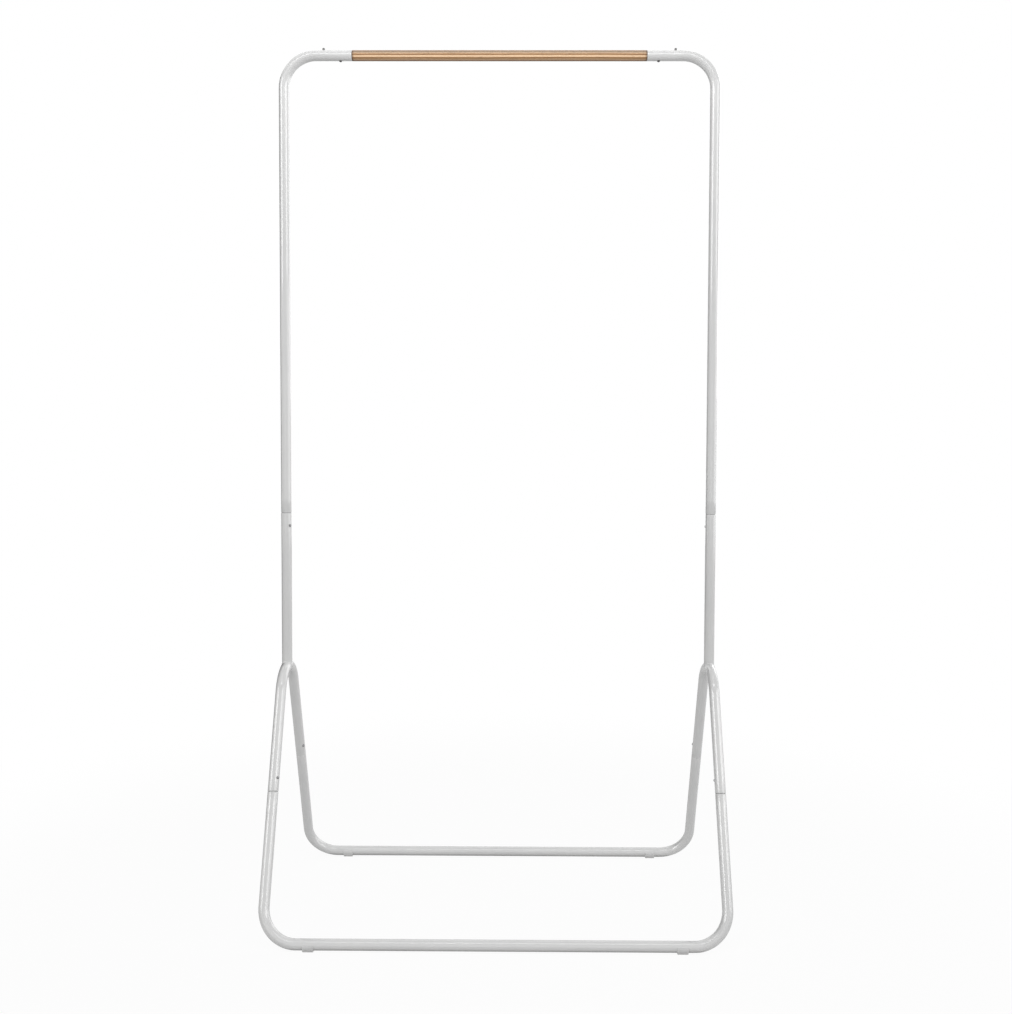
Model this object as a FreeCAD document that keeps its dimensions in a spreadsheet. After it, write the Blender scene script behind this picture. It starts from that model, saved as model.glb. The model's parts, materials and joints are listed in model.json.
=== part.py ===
import FreeCAD, Part
import math
import os
import Sketcher

# Free-standing clothes rail of bent steel tube with a round wooden hanging bar.
# Frame: X to the right as seen from the front, Y to the back, Z up, in millimetres.
# The origin is on the floor in the middle of the footprint.
# Each side has an upper tube, a lower post welded on an upside-down V of tube, and two U-shaped
# base tubes join the sides. The tubes slip into each other and are held by spring snap buttons.

Vector = FreeCAD.Vector

# alias, value in millimetres or degrees, meaning
SIZES = (
    ("tube_dia", "19", "outside diameter of every steel tube"),
    ("tube_wall", "1", "wall of every steel tube"),
    ("bend_radius", "60", "centre-line radius of every bend"),
    ("post_spacing", "800", "between the two post axes"),
    ("rail_axis", "1587.5", "height of the hanging bar's axis"),
    ("arm_length", "67", "straight part of the upper tube beside the wooden bar"),
    ("tenon_room", "22", "empty part of the arm's bore, past the wooden tenon"),
    ("tenon_clearance", "0.1", "radial play of the wooden tenon"),
    ("base_depth", "431", "between the axes of the two floor bars"),
    ("leg_lean", "21.8", "angle of the legs from upright"),
    ("leg_joint", "252.5", "from the floor bar's axis to the leg joint, along the leg"),
    ("post_joint", "738.5", "height of the joint in the post"),
    ("spigot_length", "60", "reduced tube end that slips into the next tube"),
    ("slip_clearance", "0.2", "radial play of a spigot"),
    ("swage_length", "1.2", "cone between tube and spigot"),
    ("tube_edge", "0.4", "chamfer on cut tube ends"),
    ("button_set", "23.5", "from a joint to its snap button"),
    ("button_dia", "5", "snap button"),
    ("button_play", "0.2", "radial play of a button in its holes"),
    ("button_stand", "2.3", "height of a button above the tube"),
    ("button_dome", "1.2", "height of a button's round tip"),
    ("button_turn", "35", "angle of a button's axis from the line between the posts, about its tube"),
    ("rivet_dia", "2.4", "neck of a button, through the spring leaf"),
    ("rivet_head_dia", "4", "clenched end of that neck"),
    ("rivet_head", "0.8", "thickness of the clenched end"),
    ("leaf_thick", "0.6", "spring leaf"),
    ("leaf_width", "8", "spring leaf across the tube"),
    ("leaf_tip", "7", "leaf past the button, to the spigot's open end"),
    ("leaf_back", "12", "leaf from the button to the bend"),
    ("seat_play", "0.05", "gap between pieces that rest on each other's curves"),
    ("foot_pad", "1.2", "sole of a foot, under the tube"),
    ("foot_length", "19", "foot along the floor bar"),
    ("foot_inset", "81", "from a post's axis in to the middle of a foot, along the bar"),
    ("foot_wrap", "100", "angle that a foot clips up each side of the tube, from straight down"),
    ("foot_lip", "1.8", "thickness of a foot's lips"),
    ("foot_sole", "14", "width of the sole before its edges are rounded"),
    ("foot_round", "1.2", "rounding of a foot's edges"),
    ("peg_dia", "5.2", "peg that holds a foot in the tube"),
    ("peg_barb", "0.4", "radial bulge at the peg's end"),
    ("peg_reach", "2.5", "peg inside the tube"),
    ("stop_set", "14", "from the bend's start back to the hanger stop"),
    ("stop_dia", "5", "hanger stop"),
    ("stop_stand", "4.6", "height of a hanger stop above the tube"),
    ("stop_dome", "1.5", "height of its round top"),
    ("stop_shank_dia", "3", "its shank through the tube wall"),
    ("stop_tail_dia", "4.4", "its flared end inside the tube"),
    ("stop_tail", "0.8", "thickness of the flared end"),
    ("screw_set", "21.5", "from the wooden shoulder to the screw"),
    ("screw_head_dia", "5.6", "head of the screw under the bar"),
    ("screw_head", "2.2", "height of that head"),
    ("screw_dome", "1.4", "height of the head's round part"),
    ("screw_shank_dia", "3", "shank of the screw"),
    ("screw_length", "11", "shank under the head"),
    ("screw_tip", "2.5", "length of the pointed end"),
    ("screw_slot", "0.9", "width of the cross slot"),
    ("screw_slot_length", "3", "length of the cross slot"),
    ("screw_slot_depth", "1", "depth of the cross slot"),
    ("hole_play", "0.1", "radial play of pegs, shanks and necks in their holes"),
    ("dowel_edge", "0.5", "chamfer on the wooden shoulders and tenons"),
    ("weld_size", "1.6", "width of the weld ring"),
)

TINY = 1e-6
# Numbers by which a sketch knows its own axes and origin, and the points of a line or arc
H_AXIS_INDEX, V_AXIS_INDEX, ORIGIN_INDEX = -1, -2, -1
START_INDEX, END_INDEX, CENTRE_INDEX = 1, 2, 3
# A sketch's own directions, about which it can be turned
SKETCH_X, SKETCH_Y = Vector(1, 0, 0), Vector(0, 1, 0)

doc = FreeCAD.newDocument("clothes_rail")
sheet = doc.addObject("Spreadsheet::Sheet", "Sizes")
for row, (alias, number, meaning) in enumerate(SIZES, start=1):
    sheet.set(f"A{row}", meaning)
    sheet.set(f"B{row}", number)
    sheet.setAlias(f"B{row}", alias)
doc.recompute()

# Radii, lengths and places that follow from the sheet
TUBE_R = "(Sizes.tube_dia / 2)"
BORE_R = f"({TUBE_R} - Sizes.tube_wall)"
SPIGOT_R = f"({BORE_R} - Sizes.slip_clearance)"
SPIGOT_BORE_R = f"({SPIGOT_R} - Sizes.tube_wall)"
TENON_R = f"({BORE_R} - Sizes.tenon_clearance)"
HALF_WIDTH = "(Sizes.post_spacing / 2)"
HALF_DEPTH = "(Sizes.base_depth / 2)"
ARM_END = "(Sizes.bend_radius + Sizes.arm_length)"
HALF_DOWEL = f"({HALF_WIDTH} - {ARM_END})"
FOOT_X = f"({HALF_WIDTH} - Sizes.foot_inset)"
TENON = "(Sizes.arm_length - Sizes.tenon_room)"
SCREW_X = f"({HALF_DOWEL} + Sizes.screw_set)"
STOP_X = f"({HALF_WIDTH} - Sizes.bend_radius - Sizes.stop_set)"
BAR_AXIS = f"(Sizes.foot_pad + {TUBE_R})"
LEAN_SIN = "sin(Sizes.leg_lean)"
LEAN_COS = "cos(Sizes.leg_lean)"
BEND_CENTRE = f"({BAR_AXIS} + {HALF_DEPTH} * {LEAN_COS} / {LEAN_SIN} - Sizes.bend_radius / {LEAN_SIN})"
CREST = f"({BEND_CENTRE} + Sizes.bend_radius)"
BUTTON_HOLE = "(Sizes.button_dia + 2 * Sizes.button_play)"
LEG_BUTTON = "(Sizes.leg_joint + Sizes.button_set)"
LEG_BUTTON_Y = f"({HALF_DEPTH} - {LEG_BUTTON} * {LEAN_SIN})"
LEG_BUTTON_Z = f"({BAR_AXIS} + {LEG_BUTTON} * {LEAN_COS})"
POST_BUTTON_Z = "(Sizes.post_joint - Sizes.button_set)"
LEAF_FACE = f"(sqrt({SPIGOT_BORE_R}^2 - (Sizes.leaf_width / 2)^2) - Sizes.seat_play)"
LEAF_BACK = f"({LEAF_FACE} - Sizes.leaf_thick)"


def value(expression):
    """Number that an expression on the sheet stands for."""
    result = sheet.evalExpression(expression)
    return float(getattr(result, "Value", result))


def origin_plane(body, role):
    """One of a body's three base planes."""
    return next(item for item in body.Origin.OriginFeatures if item.Role == role)


def new_body(label, x="0", y="0", z="0", axis=Vector(0, 0, 1), turn="0"):
    """Body with its node's name, set in place by expressions."""
    body = doc.addObject("PartDesign::Body", label)
    body.Label = label
    place(body, x, y, z, axis, turn)
    return body


def place(item, x="0", y="0", z="0", axis=Vector(0, 0, 1), turn="0"):
    """Binds an object's place and its turn about one axis."""
    item.Placement = FreeCAD.Placement(Vector(), FreeCAD.Rotation(axis, value(turn)))
    for name, expression in (("x", x), ("y", y), ("z", z)):
        item.setExpression(f"Placement.Base.{name}", expression)
    if abs(value(turn)) > TINY:
        item.setExpression("Placement.Rotation.Angle", turn)


def sketch_on(body, role, name, shift=None, tilt=None, about=SKETCH_X, at=("0", "0")):
    """Sketch on a base plane, moved in it and along its normal and tilted about a direction in it."""
    sketch = body.newObject("Sketcher::SketchObject", name)
    sketch.AttachmentSupport = [(origin_plane(body, role), "")]
    sketch.MapMode = "FlatFace"
    if tilt:
        sketch.AttachmentOffset = FreeCAD.Placement(Vector(), FreeCAD.Rotation(about, value(tilt)))
        sketch.setExpression("AttachmentOffset.Rotation.Angle", tilt)
    for direction, distance in zip("xyz", (*at, shift or "0")):
        sketch.setExpression(f"AttachmentOffset.Base.{direction}", distance)
    return sketch


def bind_size(sketch, kind, expression, *where):
    """Dimension in a sketch that follows an expression."""
    index = sketch.addConstraint(Sketcher.Constraint(kind, *where, value(expression)))
    sketch.setExpression(f"Constraints[{index}]", expression)


def hold(sketch, geometry, point, x, y):
    """Fixes one point of a sketch at two expressions."""
    for kind, expression, axis in (("DistanceX", x, V_AXIS_INDEX), ("DistanceY", y, H_AXIS_INDEX)):
        if abs(value(expression)) < TINY:
            sketch.addConstraint(Sketcher.Constraint("PointOnObject", geometry, point, axis))
        else:
            bind_size(sketch, kind, expression, ORIGIN_INDEX, START_INDEX, geometry, point)


def minor_arc(first, last, radius, turn):
    """Arc under half a circle from first to last, bending left for turn 1 and right for turn -1."""
    chord = last - first
    rise = math.sqrt(max(radius ** 2 - chord.Length ** 2 / 4, 0))
    normal = Vector(-chord.y, chord.x, 0).normalize()
    centre = (first + last) / 2 + normal * rise * turn
    begin, finish = (first, last) if turn > 0 else (last, first)
    angles = [math.atan2(p.y - centre.y, p.x - centre.x) for p in (begin, finish)]
    return Part.ArcOfCircle(Part.Circle(centre, Vector(0, 0, 1), radius), *angles)


def draw(sketch, points, closed=True):
    """Chain of lines and arcs through points that are held by expressions.

    A point is (x, y) at the end of a line, or (x, y, radius, turn) at the end of an arc.
    """
    places = [Vector(value(point[0]), value(point[1]), 0) for point in points]
    count = len(points)
    ends = []
    for index in range(count if closed else count - 1):
        target = points[(index + 1) % count]
        first, last = places[index], places[(index + 1) % count]
        turn = target[3] if len(target) > 2 else 1
        if len(target) > 2:
            geometry = sketch.addGeometry(minor_arc(first, last, value(target[2]), turn), False)
            bind_size(sketch, "Radius", target[2], geometry)
        else:
            geometry = sketch.addGeometry(Part.LineSegment(first, last), False)
        ends.append((geometry, START_INDEX, END_INDEX) if turn > 0 else (geometry, END_INDEX, START_INDEX))
        hold(sketch, geometry, ends[-1][1], *points[index][:2])
    for before, after in zip(ends, ends[1:] + ends[:1] if closed else ends[1:]):
        sketch.addConstraint(Sketcher.Constraint("Coincident", before[0], before[2], after[0], after[1]))
    if not closed:
        hold(sketch, ends[-1][0], ends[-1][2], *points[-1][:2])


def circle(sketch, diameter, x="0", y="0"):
    """Circle held by expressions."""
    centre = Vector(value(x), value(y), 0)
    geometry = sketch.addGeometry(Part.Circle(centre, Vector(0, 0, 1), value(diameter) / 2), False)
    hold(sketch, geometry, CENTRE_INDEX, x, y)
    bind_size(sketch, "Diameter", diameter, geometry)


def tube_section(body, role, name, x="0", y="0", shift=None):
    """Ring of a tube's wall."""
    sketch = sketch_on(body, role, name, shift)
    circle(sketch, f"2 * {TUBE_R}", x, y)
    circle(sketch, f"2 * {BORE_R}", x, y)
    return sketch


def pipe(body, name, section, path):
    """Tube wall carried along a path."""
    item = body.newObject("PartDesign::AdditivePipe", name)
    item.Profile = section
    item.Spine = (path, [f"Edge{number + 1}" for number in range(path.GeometryCount)])
    return item


def revolve(body, name, sketch, axis):
    """Full turn of a sketch about one of its axes."""
    item = body.newObject("PartDesign::Revolution", name)
    item.Profile = sketch
    item.ReferenceAxis = (sketch, [axis])
    item.Angle = 360
    return item


def extrude(body, name, sketch, length):
    """Pad that grows to both sides of its sketch."""
    item = body.newObject("PartDesign::Pad", name)
    item.Profile = sketch
    item.SideType = "Symmetric"
    item.setExpression("Length", length)
    return item


def cut(body, name, sketch, length=None, forward=False):
    """Pocket through everything to both sides, or to one side by a length; it has to remove material."""
    doc.recompute()
    before = body.Shape.Volume
    item = body.newObject("PartDesign::Pocket", name)
    item.Profile = sketch
    item.Reversed = forward
    if length:
        item.setExpression("Length", length)
    else:
        item.Type = "ThroughAll"
        item.SideType = "Symmetric"
    doc.recompute()
    if body.Shape.Volume > before - TINY:
        raise RuntimeError(f"{body.Label}: {name} cuts nothing")
    return item


def mirror(body, name, originals, role):
    """Features repeated on the other side of a base plane."""
    item = body.newObject("PartDesign::Mirrored", name)
    item.Originals = originals
    item.MirrorPlane = (origin_plane(body, role), [""])
    body.Tip = item
    return item


def dress_edges(body, kind, name, chosen, size, amount):
    """Chamfer or fillet on the edges that a test picks."""
    doc.recompute()
    base = body.Tip
    names = [f"Edge{number}" for number, edge in enumerate(base.Shape.Edges, start=1) if chosen(edge)]
    if not names:
        raise RuntimeError(f"{body.Label}: {name} finds no edge")
    item = body.newObject("PartDesign::" + kind, name)
    item.Base = (base, names)
    item.setExpression(size, amount)
    return item


def spigot_section(sketch, to_x, to_y):
    """Wall of a swaged tube end: a short cone, then a straight spigot with a lead-in.

    The section is drawn by radius and by the distance past the joint, and to_x and to_y turn
    these into the sketch's own directions.
    """
    rows = (
        (TUBE_R, "-Sizes.swage_length"),
        (SPIGOT_R, "0"),
        (SPIGOT_R, "(Sizes.spigot_length - Sizes.tube_edge)"),
        (f"({SPIGOT_R} - Sizes.tube_edge)", "Sizes.spigot_length"),
        (SPIGOT_BORE_R, "Sizes.spigot_length"),
        (SPIGOT_BORE_R, "0"),
        (BORE_R, "-Sizes.swage_length"),
    )
    draw(sketch, [(to_x(radius), to_y(past)) for radius, past in rows])


def button_tilt(side):
    """Turn of a snap button about its tube: left ones face in and forward, right ones in and back."""
    return "-Sizes.button_turn" if side < 0 else "180 - Sizes.button_turn"


def button_hole(body, name, tilt, at, about=SKETCH_Y, shift=None, depth=None):
    """Hole for a snap button, square to the tube's direction in the YZ plane and turned about it.

    A depth drills one wall of the tube, and without one both walls are drilled.
    """
    sketch = sketch_on(body, "YZ_Plane", name, shift, tilt, about, at)
    circle(sketch, BUTTON_HOLE)
    cut(body, name + "_hole", sketch, depth, forward=bool(depth))


def is_ring_at(centre):
    """Test for round edges about a point."""
    def test(edge):
        curve = edge.Curve
        return isinstance(curve, Part.Circle) and (curve.Center - centre).Length < TINY
    return test


def make_dowel():
    """Round wooden bar with a turned tenon at each end and pilot holes for the screws."""
    body = new_body("rail_dowel", z="Sizes.rail_axis")
    end = f"({HALF_DOWEL} + {TENON})"
    half = sketch_on(body, "XZ_Plane", "dowel_half")
    draw(half, [
        ("0", "0"),
        ("0", TUBE_R),
        (f"{HALF_DOWEL} - Sizes.dowel_edge", TUBE_R),
        (HALF_DOWEL, f"{TUBE_R} - Sizes.dowel_edge"),
        (HALF_DOWEL, TENON_R),
        (f"{end} - Sizes.dowel_edge", TENON_R),
        (end, f"{TENON_R} - Sizes.dowel_edge"),
        (end, "0"),
    ])
    turned = revolve(body, "dowel_turned", half, "H_Axis")
    mirror(body, "dowel_whole", [turned], "YZ_Plane")
    pilot_top = f"Sizes.screw_length - {TUBE_R} + Sizes.hole_play"
    pilots = sketch_on(body, "XY_Plane", "dowel_pilots", shift=pilot_top)
    for side in ("-", ""):
        circle(pilots, "Sizes.screw_shank_dia + 2 * Sizes.hole_play", x=f"{side}{SCREW_X}")
    cut(body, "dowel_drilled", pilots, "Sizes.screw_length + Sizes.tube_dia")
    return body


def make_upper_tube(label, side):
    """Tube that is the rail's corner and the upper post, with a spigot at its lower end.

    Its own Z axis is the post's axis and its arm points along its own X direction.
    """
    body = new_body(label, x=f"{side} * {HALF_WIDTH}", turn="0" if side < 0 else "180")
    lower_end = "(Sizes.post_joint + Sizes.swage_length)"
    section = tube_section(body, "XY_Plane", label + "_section", shift=lower_end)
    path = sketch_on(body, "XZ_Plane", label + "_path")
    draw(path, [
        ("0", lower_end),
        ("0", "Sizes.rail_axis - Sizes.bend_radius"),
        ("Sizes.bend_radius", "Sizes.rail_axis", "Sizes.bend_radius", -1),
        (ARM_END, "Sizes.rail_axis"),
    ], closed=False)
    pipe(body, label + "_bent", section, path)
    swage = sketch_on(body, "XZ_Plane", label + "_swage")
    spigot_section(swage, lambda radius: radius, lambda past: f"Sizes.post_joint - ({past})")
    revolve(body, label + "_spigot", swage, "V_Axis")
    button_hole(body, label + "_button", button_tilt(-1), ("0", POST_BUTTON_Z))
    stop_hole = sketch_on(body, "XY_Plane", label + "_stop", shift="Sizes.rail_axis")
    circle(stop_hole, "Sizes.stop_shank_dia + 2 * Sizes.hole_play", x="Sizes.bend_radius + Sizes.stop_set")
    cut(body, label + "_stop_hole", stop_hole, "Sizes.tube_dia", forward=True)
    screw_hole = sketch_on(body, "XY_Plane", label + "_screw", shift="Sizes.rail_axis")
    circle(screw_hole, "Sizes.screw_shank_dia + 2 * Sizes.hole_play", x=f"{ARM_END} - Sizes.screw_set")
    cut(body, label + "_screw_hole", screw_hole, "Sizes.tube_dia")
    arm_end = Vector(value(ARM_END), 0, value("Sizes.rail_axis"))
    dress_edges(body, "Chamfer", label + "_edge", is_ring_at(arm_end), "Size", "Sizes.tube_edge")
    return body


def make_post(label, side):
    """Lower post: open for the upper tube's spigot, saddle-cut to stand on the leg bend."""
    body = new_body(label, x=f"{side} * {HALF_WIDTH}")
    wall = sketch_on(body, "XZ_Plane", label + "_wall")
    draw(wall, [
        (TUBE_R, CREST),
        (TUBE_R, "Sizes.post_joint - Sizes.tube_edge"),
        (f"{TUBE_R} - Sizes.tube_edge", "Sizes.post_joint"),
        (f"{BORE_R} + Sizes.tube_edge / 2", "Sizes.post_joint"),
        (BORE_R, "Sizes.post_joint - Sizes.tube_edge / 2"),
        (BORE_R, CREST),
    ])
    revolve(body, label + "_tube", wall, "V_Axis")
    saddle = sketch_on(body, "XZ_Plane", label + "_saddle")
    circle(saddle, "Sizes.tube_dia", y=CREST)
    axis = saddle.addGeometry(Part.LineSegment(Vector(0, value(BEND_CENTRE), 0),
                                               Vector(value(TUBE_R), value(BEND_CENTRE), 0)), True)
    hold(saddle, axis, START_INDEX, "0", BEND_CENTRE)
    hold(saddle, axis, END_INDEX, TUBE_R, BEND_CENTRE)
    doc.recompute()
    before = body.Shape.Volume
    groove = body.newObject("PartDesign::Groove", label + "_saddle_cut")
    groove.Profile = saddle
    groove.ReferenceAxis = (saddle, ["Axis0"])
    groove.Angle = 360
    doc.recompute()
    if body.Shape.Volume > before - TINY:
        raise RuntimeError(f"{label}: the saddle cuts nothing")
    button_hole(body, label + "_button", button_tilt(side), ("0", POST_BUTTON_Z), depth="Sizes.tube_dia")
    return body


def make_hairpin(label, side):
    """Tube bent into an upside-down V, open at both ends for the base tubes' spigots."""
    body = new_body(label, x=f"{side} * {HALF_WIDTH}")
    section = tube_section(body, "XZ_Plane", label + "_section", y=CREST)
    end_y = f"-({HALF_DEPTH} - Sizes.leg_joint * {LEAN_SIN})"
    end_z = f"({BAR_AXIS} + Sizes.leg_joint * {LEAN_COS})"
    bend_y = f"-Sizes.bend_radius * {LEAN_COS}"
    bend_z = f"{BEND_CENTRE} + Sizes.bend_radius * {LEAN_SIN}"
    path = sketch_on(body, "YZ_Plane", label + "_path")
    draw(path, [
        ("0", CREST),
        (bend_y, bend_z, "Sizes.bend_radius", 1),
        (end_y, end_z),
    ], closed=False)
    half = pipe(body, label + "_half", section, path)
    mirror(body, label + "_whole", [half], "XZ_Plane")
    for end, end_name in ((-1, "front"), (1, "rear")):
        leg = Vector(-end * value(LEAN_SIN), value(LEAN_COS), 0)
        centre = (f"{end} * {LEG_BUTTON_Y}", LEG_BUTTON_Z)
        button_hole(body, f"{label}_{end_name}_button", button_tilt(side), centre, leg, depth="Sizes.tube_dia")
    front = is_ring_at(Vector(0, value(end_y), value(end_z)))
    rear = is_ring_at(Vector(0, -value(end_y), value(end_z)))

    def is_end(edge):
        return front(edge) or rear(edge)

    dress_edges(body, "Chamfer", label + "_edge", is_end, "Size", "Sizes.tube_edge")
    return body


def make_base(label, side):
    """U-shaped base tube in the plane of two legs, with a spigot at each end.

    Its own X axis is the floor bar's axis and its own Z direction points up along the legs.
    """
    body = new_body(label, y=f"{side} * {HALF_DEPTH}", z=BAR_AXIS, axis=Vector(1, 0, 0),
                    turn=f"{side} * Sizes.leg_lean")
    section = tube_section(body, "YZ_Plane", label + "_section")
    path = sketch_on(body, "XZ_Plane", label + "_path")
    draw(path, [
        ("0", "0"),
        (f"{HALF_WIDTH} - Sizes.bend_radius", "0"),
        (HALF_WIDTH, "Sizes.bend_radius", "Sizes.bend_radius", 1),
        (HALF_WIDTH, "Sizes.leg_joint - Sizes.swage_length"),
    ], closed=False)
    half = pipe(body, label + "_half", section, path)
    swage = sketch_on(body, "XZ_Plane", label + "_swage")
    spigot_section(swage, lambda radius: f"{HALF_WIDTH} + {radius}",
                   lambda past: f"Sizes.leg_joint + ({past})")
    axis = swage.addGeometry(Part.LineSegment(Vector(value(HALF_WIDTH), 0, 0),
                                              Vector(value(HALF_WIDTH), value("Sizes.leg_joint"), 0)), True)
    hold(swage, axis, START_INDEX, HALF_WIDTH, "0")
    hold(swage, axis, END_INDEX, HALF_WIDTH, "Sizes.leg_joint")
    spigot = revolve(body, label + "_spigot", swage, "Axis0")
    mirror(body, label + "_whole", [half, spigot], "YZ_Plane")
    for end, end_name in ((-1, "left"), (1, "right")):
        button_hole(body, f"{label}_{end_name}_button", button_tilt(end), ("0", LEG_BUTTON),
                    shift=f"{end} * {HALF_WIDTH}")
    peg_holes = sketch_on(body, "XY_Plane", label + "_pegs", tilt=f"{-side} * Sizes.leg_lean")
    for sign in ("-", ""):
        circle(peg_holes, "Sizes.peg_dia + 2 * Sizes.hole_play", x=f"{sign}{FOOT_X}")
    cut(body, label + "_peg_holes", peg_holes, "Sizes.tube_dia")
    return body


def make_foot(label, x_side, y_side):
    """Foot clipped on a floor bar: a flat sole, a springy lip up each side and a barbed peg.

    Each side runs straight from the sole's corner to where it touches the lip's round outside.
    """
    body = new_body(label, x=f"{x_side} * {FOOT_X}", y=f"{y_side} * {HALF_DEPTH}")
    saddle_r = f"({TUBE_R} + Sizes.seat_play)"
    lip_r = f"({saddle_r} + Sizes.foot_lip)"
    lip_y = f"({lip_r} * sin(Sizes.foot_wrap))"
    lip_z = f"({BAR_AXIS} - {lip_r} * cos(Sizes.foot_wrap))"
    rim_y = f"({saddle_r} * sin(Sizes.foot_wrap))"
    rim_z = f"({BAR_AXIS} - {saddle_r} * cos(Sizes.foot_wrap))"
    half_sole = "(Sizes.foot_sole / 2)"
    touch = f"(atan({half_sole} / {BAR_AXIS}) + acos({lip_r} / sqrt({half_sole}^2 + {BAR_AXIS}^2)))"
    touch_y = f"({lip_r} * sin({touch}))"
    touch_z = f"({BAR_AXIS} - {lip_r} * cos({touch}))"
    profile = sketch_on(body, "YZ_Plane", label + "_profile")
    draw(profile, [
        (f"-{half_sole}", "0"),
        (half_sole, "0"),
        (touch_y, touch_z),
        (lip_y, lip_z, lip_r, 1),
        (rim_y, rim_z),
        ("0", f"{BAR_AXIS} - {saddle_r}", saddle_r, -1),
        (f"-{rim_y}", rim_z, saddle_r, -1),
        (f"-{lip_y}", lip_z),
        (f"-{touch_y}", touch_z, lip_r, 1),
    ])
    extrude(body, label + "_saddle", profile, "Sizes.foot_length")
    doc.recompute()
    half = value("Sizes.foot_length") / 2
    axis_z, outside = value(BAR_AXIS), value(lip_r)

    def is_outer(edge):
        ends = [vertex.Point for vertex in edge.Vertexes]
        on_sole = all(abs(point.z) < TINY for point in ends)
        at_end = all(abs(abs(point.x) - half) < TINY for point in ends)
        off_saddle = all(math.hypot(point.y, point.z - axis_z) > outside - TINY for point in ends)
        return on_sole or (at_end and off_saddle)

    dress_edges(body, "Fillet", label + "_soft", is_outer, "Radius", "Sizes.foot_round")
    peg = sketch_on(body, "XZ_Plane", label + "_peg")
    peg_r = "(Sizes.peg_dia / 2)"
    barb_r = f"({peg_r} + Sizes.peg_barb)"
    barb_z = f"({BAR_AXIS} - sqrt({BORE_R}^2 - {barb_r}^2) + Sizes.seat_play)"
    top_z = f"({BAR_AXIS} - {BORE_R} + Sizes.peg_reach)"
    draw(peg, [
        ("0", "Sizes.foot_pad / 2"),
        (peg_r, "Sizes.foot_pad / 2"),
        (peg_r, barb_z),
        (barb_r, barb_z),
        (peg_r, top_z),
        ("0", top_z),
    ])
    revolve(body, label + "_peg_turned", peg, "V_Axis")
    return body


def make_stop(label, side):
    """Hanger stop: round-headed stud on top of the corner tube, flared inside it."""
    body = new_body(label, x=f"{side} * {STOP_X}", z="Sizes.rail_axis")
    half = sketch_on(body, "XZ_Plane", label + "_half")
    radius = "(Sizes.stop_dia / 2)"
    shank = "(Sizes.stop_shank_dia / 2)"
    tail = "(Sizes.stop_tail_dia / 2)"
    tail_top = f"(sqrt({BORE_R}^2 - {tail}^2) - Sizes.seat_play)"
    top = f"({TUBE_R} + Sizes.stop_stand)"
    draw(half, [
        ("0", f"{tail_top} - Sizes.stop_tail"),
        (tail, f"{tail_top} - Sizes.stop_tail"),
        (tail, tail_top),
        (shank, tail_top),
        (shank, TUBE_R),
        (radius, TUBE_R),
        (radius, f"{top} - Sizes.stop_dome"),
        ("0", top, f"({radius}^2 + Sizes.stop_dome^2) / (2 * Sizes.stop_dome)", 1),
    ])
    revolve(body, label + "_turned", half, "V_Axis")
    return body


def make_screw(label, side):
    """Round-headed screw from below, through the corner tube into the wooden tenon."""
    body = new_body(label, x=f"{side} * {SCREW_X}", z="Sizes.rail_axis")
    half = sketch_on(body, "XZ_Plane", label + "_half")
    head = "(Sizes.screw_head_dia / 2)"
    shank = "(Sizes.screw_shank_dia / 2)"
    bottom = f"(-{TUBE_R} - Sizes.screw_head)"
    tip = f"(Sizes.screw_length - {TUBE_R})"
    draw(half, [
        ("0", bottom),
        (head, f"{bottom} + Sizes.screw_dome", f"({head}^2 + Sizes.screw_dome^2) / (2 * Sizes.screw_dome)", 1),
        (head, f"-{TUBE_R}"),
        (shank, f"-{TUBE_R}"),
        (shank, f"{tip} - Sizes.screw_tip"),
        ("0", tip),
    ])
    revolve(body, label + "_turned", half, "V_Axis")
    long, short = "(Sizes.screw_slot_length / 2)", "(Sizes.screw_slot / 2)"
    slot = sketch_on(body, "XY_Plane", label + "_slot", shift=f"{bottom} + Sizes.screw_slot_depth")
    draw(slot, [
        (long, f"-{short}"), (long, short), (short, short), (short, long),
        (f"-{short}", long), (f"-{short}", short), (f"-{long}", short), (f"-{long}", f"-{short}"),
        (f"-{short}", f"-{short}"), (f"-{short}", f"-{long}"), (short, f"-{long}"), (short, f"-{short}"),
    ])
    cut(body, label + "_cross", slot, "Sizes.screw_head")
    return body


def joint_places():
    """Name, place, turn about X and tilt about the tube of the six snap-button joints.

    A joint's own Z points along its tube to the spigot's open end, so down in the posts.
    """
    for side, side_name in ((-1, "left"), (1, "right")):
        x = f"{side} * {HALF_WIDTH}"
        tilt = button_tilt(side)
        yield f"post_{side_name}", (x, "0", POST_BUTTON_Z), "180", f"-({tilt})"
        for end, end_name in ((-1, "front"), (1, "rear")):
            where = (x, f"{end} * {LEG_BUTTON_Y}", LEG_BUTTON_Z)
            yield f"leg_{end_name}_{side_name}", where, f"{end} * Sizes.leg_lean", tilt


def make_button(name, where, turn, tilt):
    """Snap button: a domed pin riveted to its spring leaf, sliding square to its tube."""
    label = "button_" + name
    body = new_body(label, *where, axis=Vector(1, 0, 0), turn=turn)
    half = sketch_on(body, "XZ_Plane", label + "_half", tilt=tilt, about=SKETCH_Y)
    pin = "(Sizes.button_dia / 2)"
    neck = "(Sizes.rivet_dia / 2)"
    clench = "(Sizes.rivet_head_dia / 2)"
    tip = f"({TUBE_R} + Sizes.button_stand)"
    draw(half, [
        (f"{LEAF_BACK} - Sizes.rivet_head", "0"),
        (tip, "0"),
        (f"{tip} - Sizes.button_dome", pin, f"({pin}^2 + Sizes.button_dome^2) / (2 * Sizes.button_dome)", 1),
        (LEAF_FACE, pin),
        (LEAF_FACE, neck),
        (LEAF_BACK, neck),
        (LEAF_BACK, clench),
        (f"{LEAF_BACK} - Sizes.rivet_head", clench),
    ])
    revolve(body, label + "_turned", half, "H_Axis")
    return body


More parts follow.
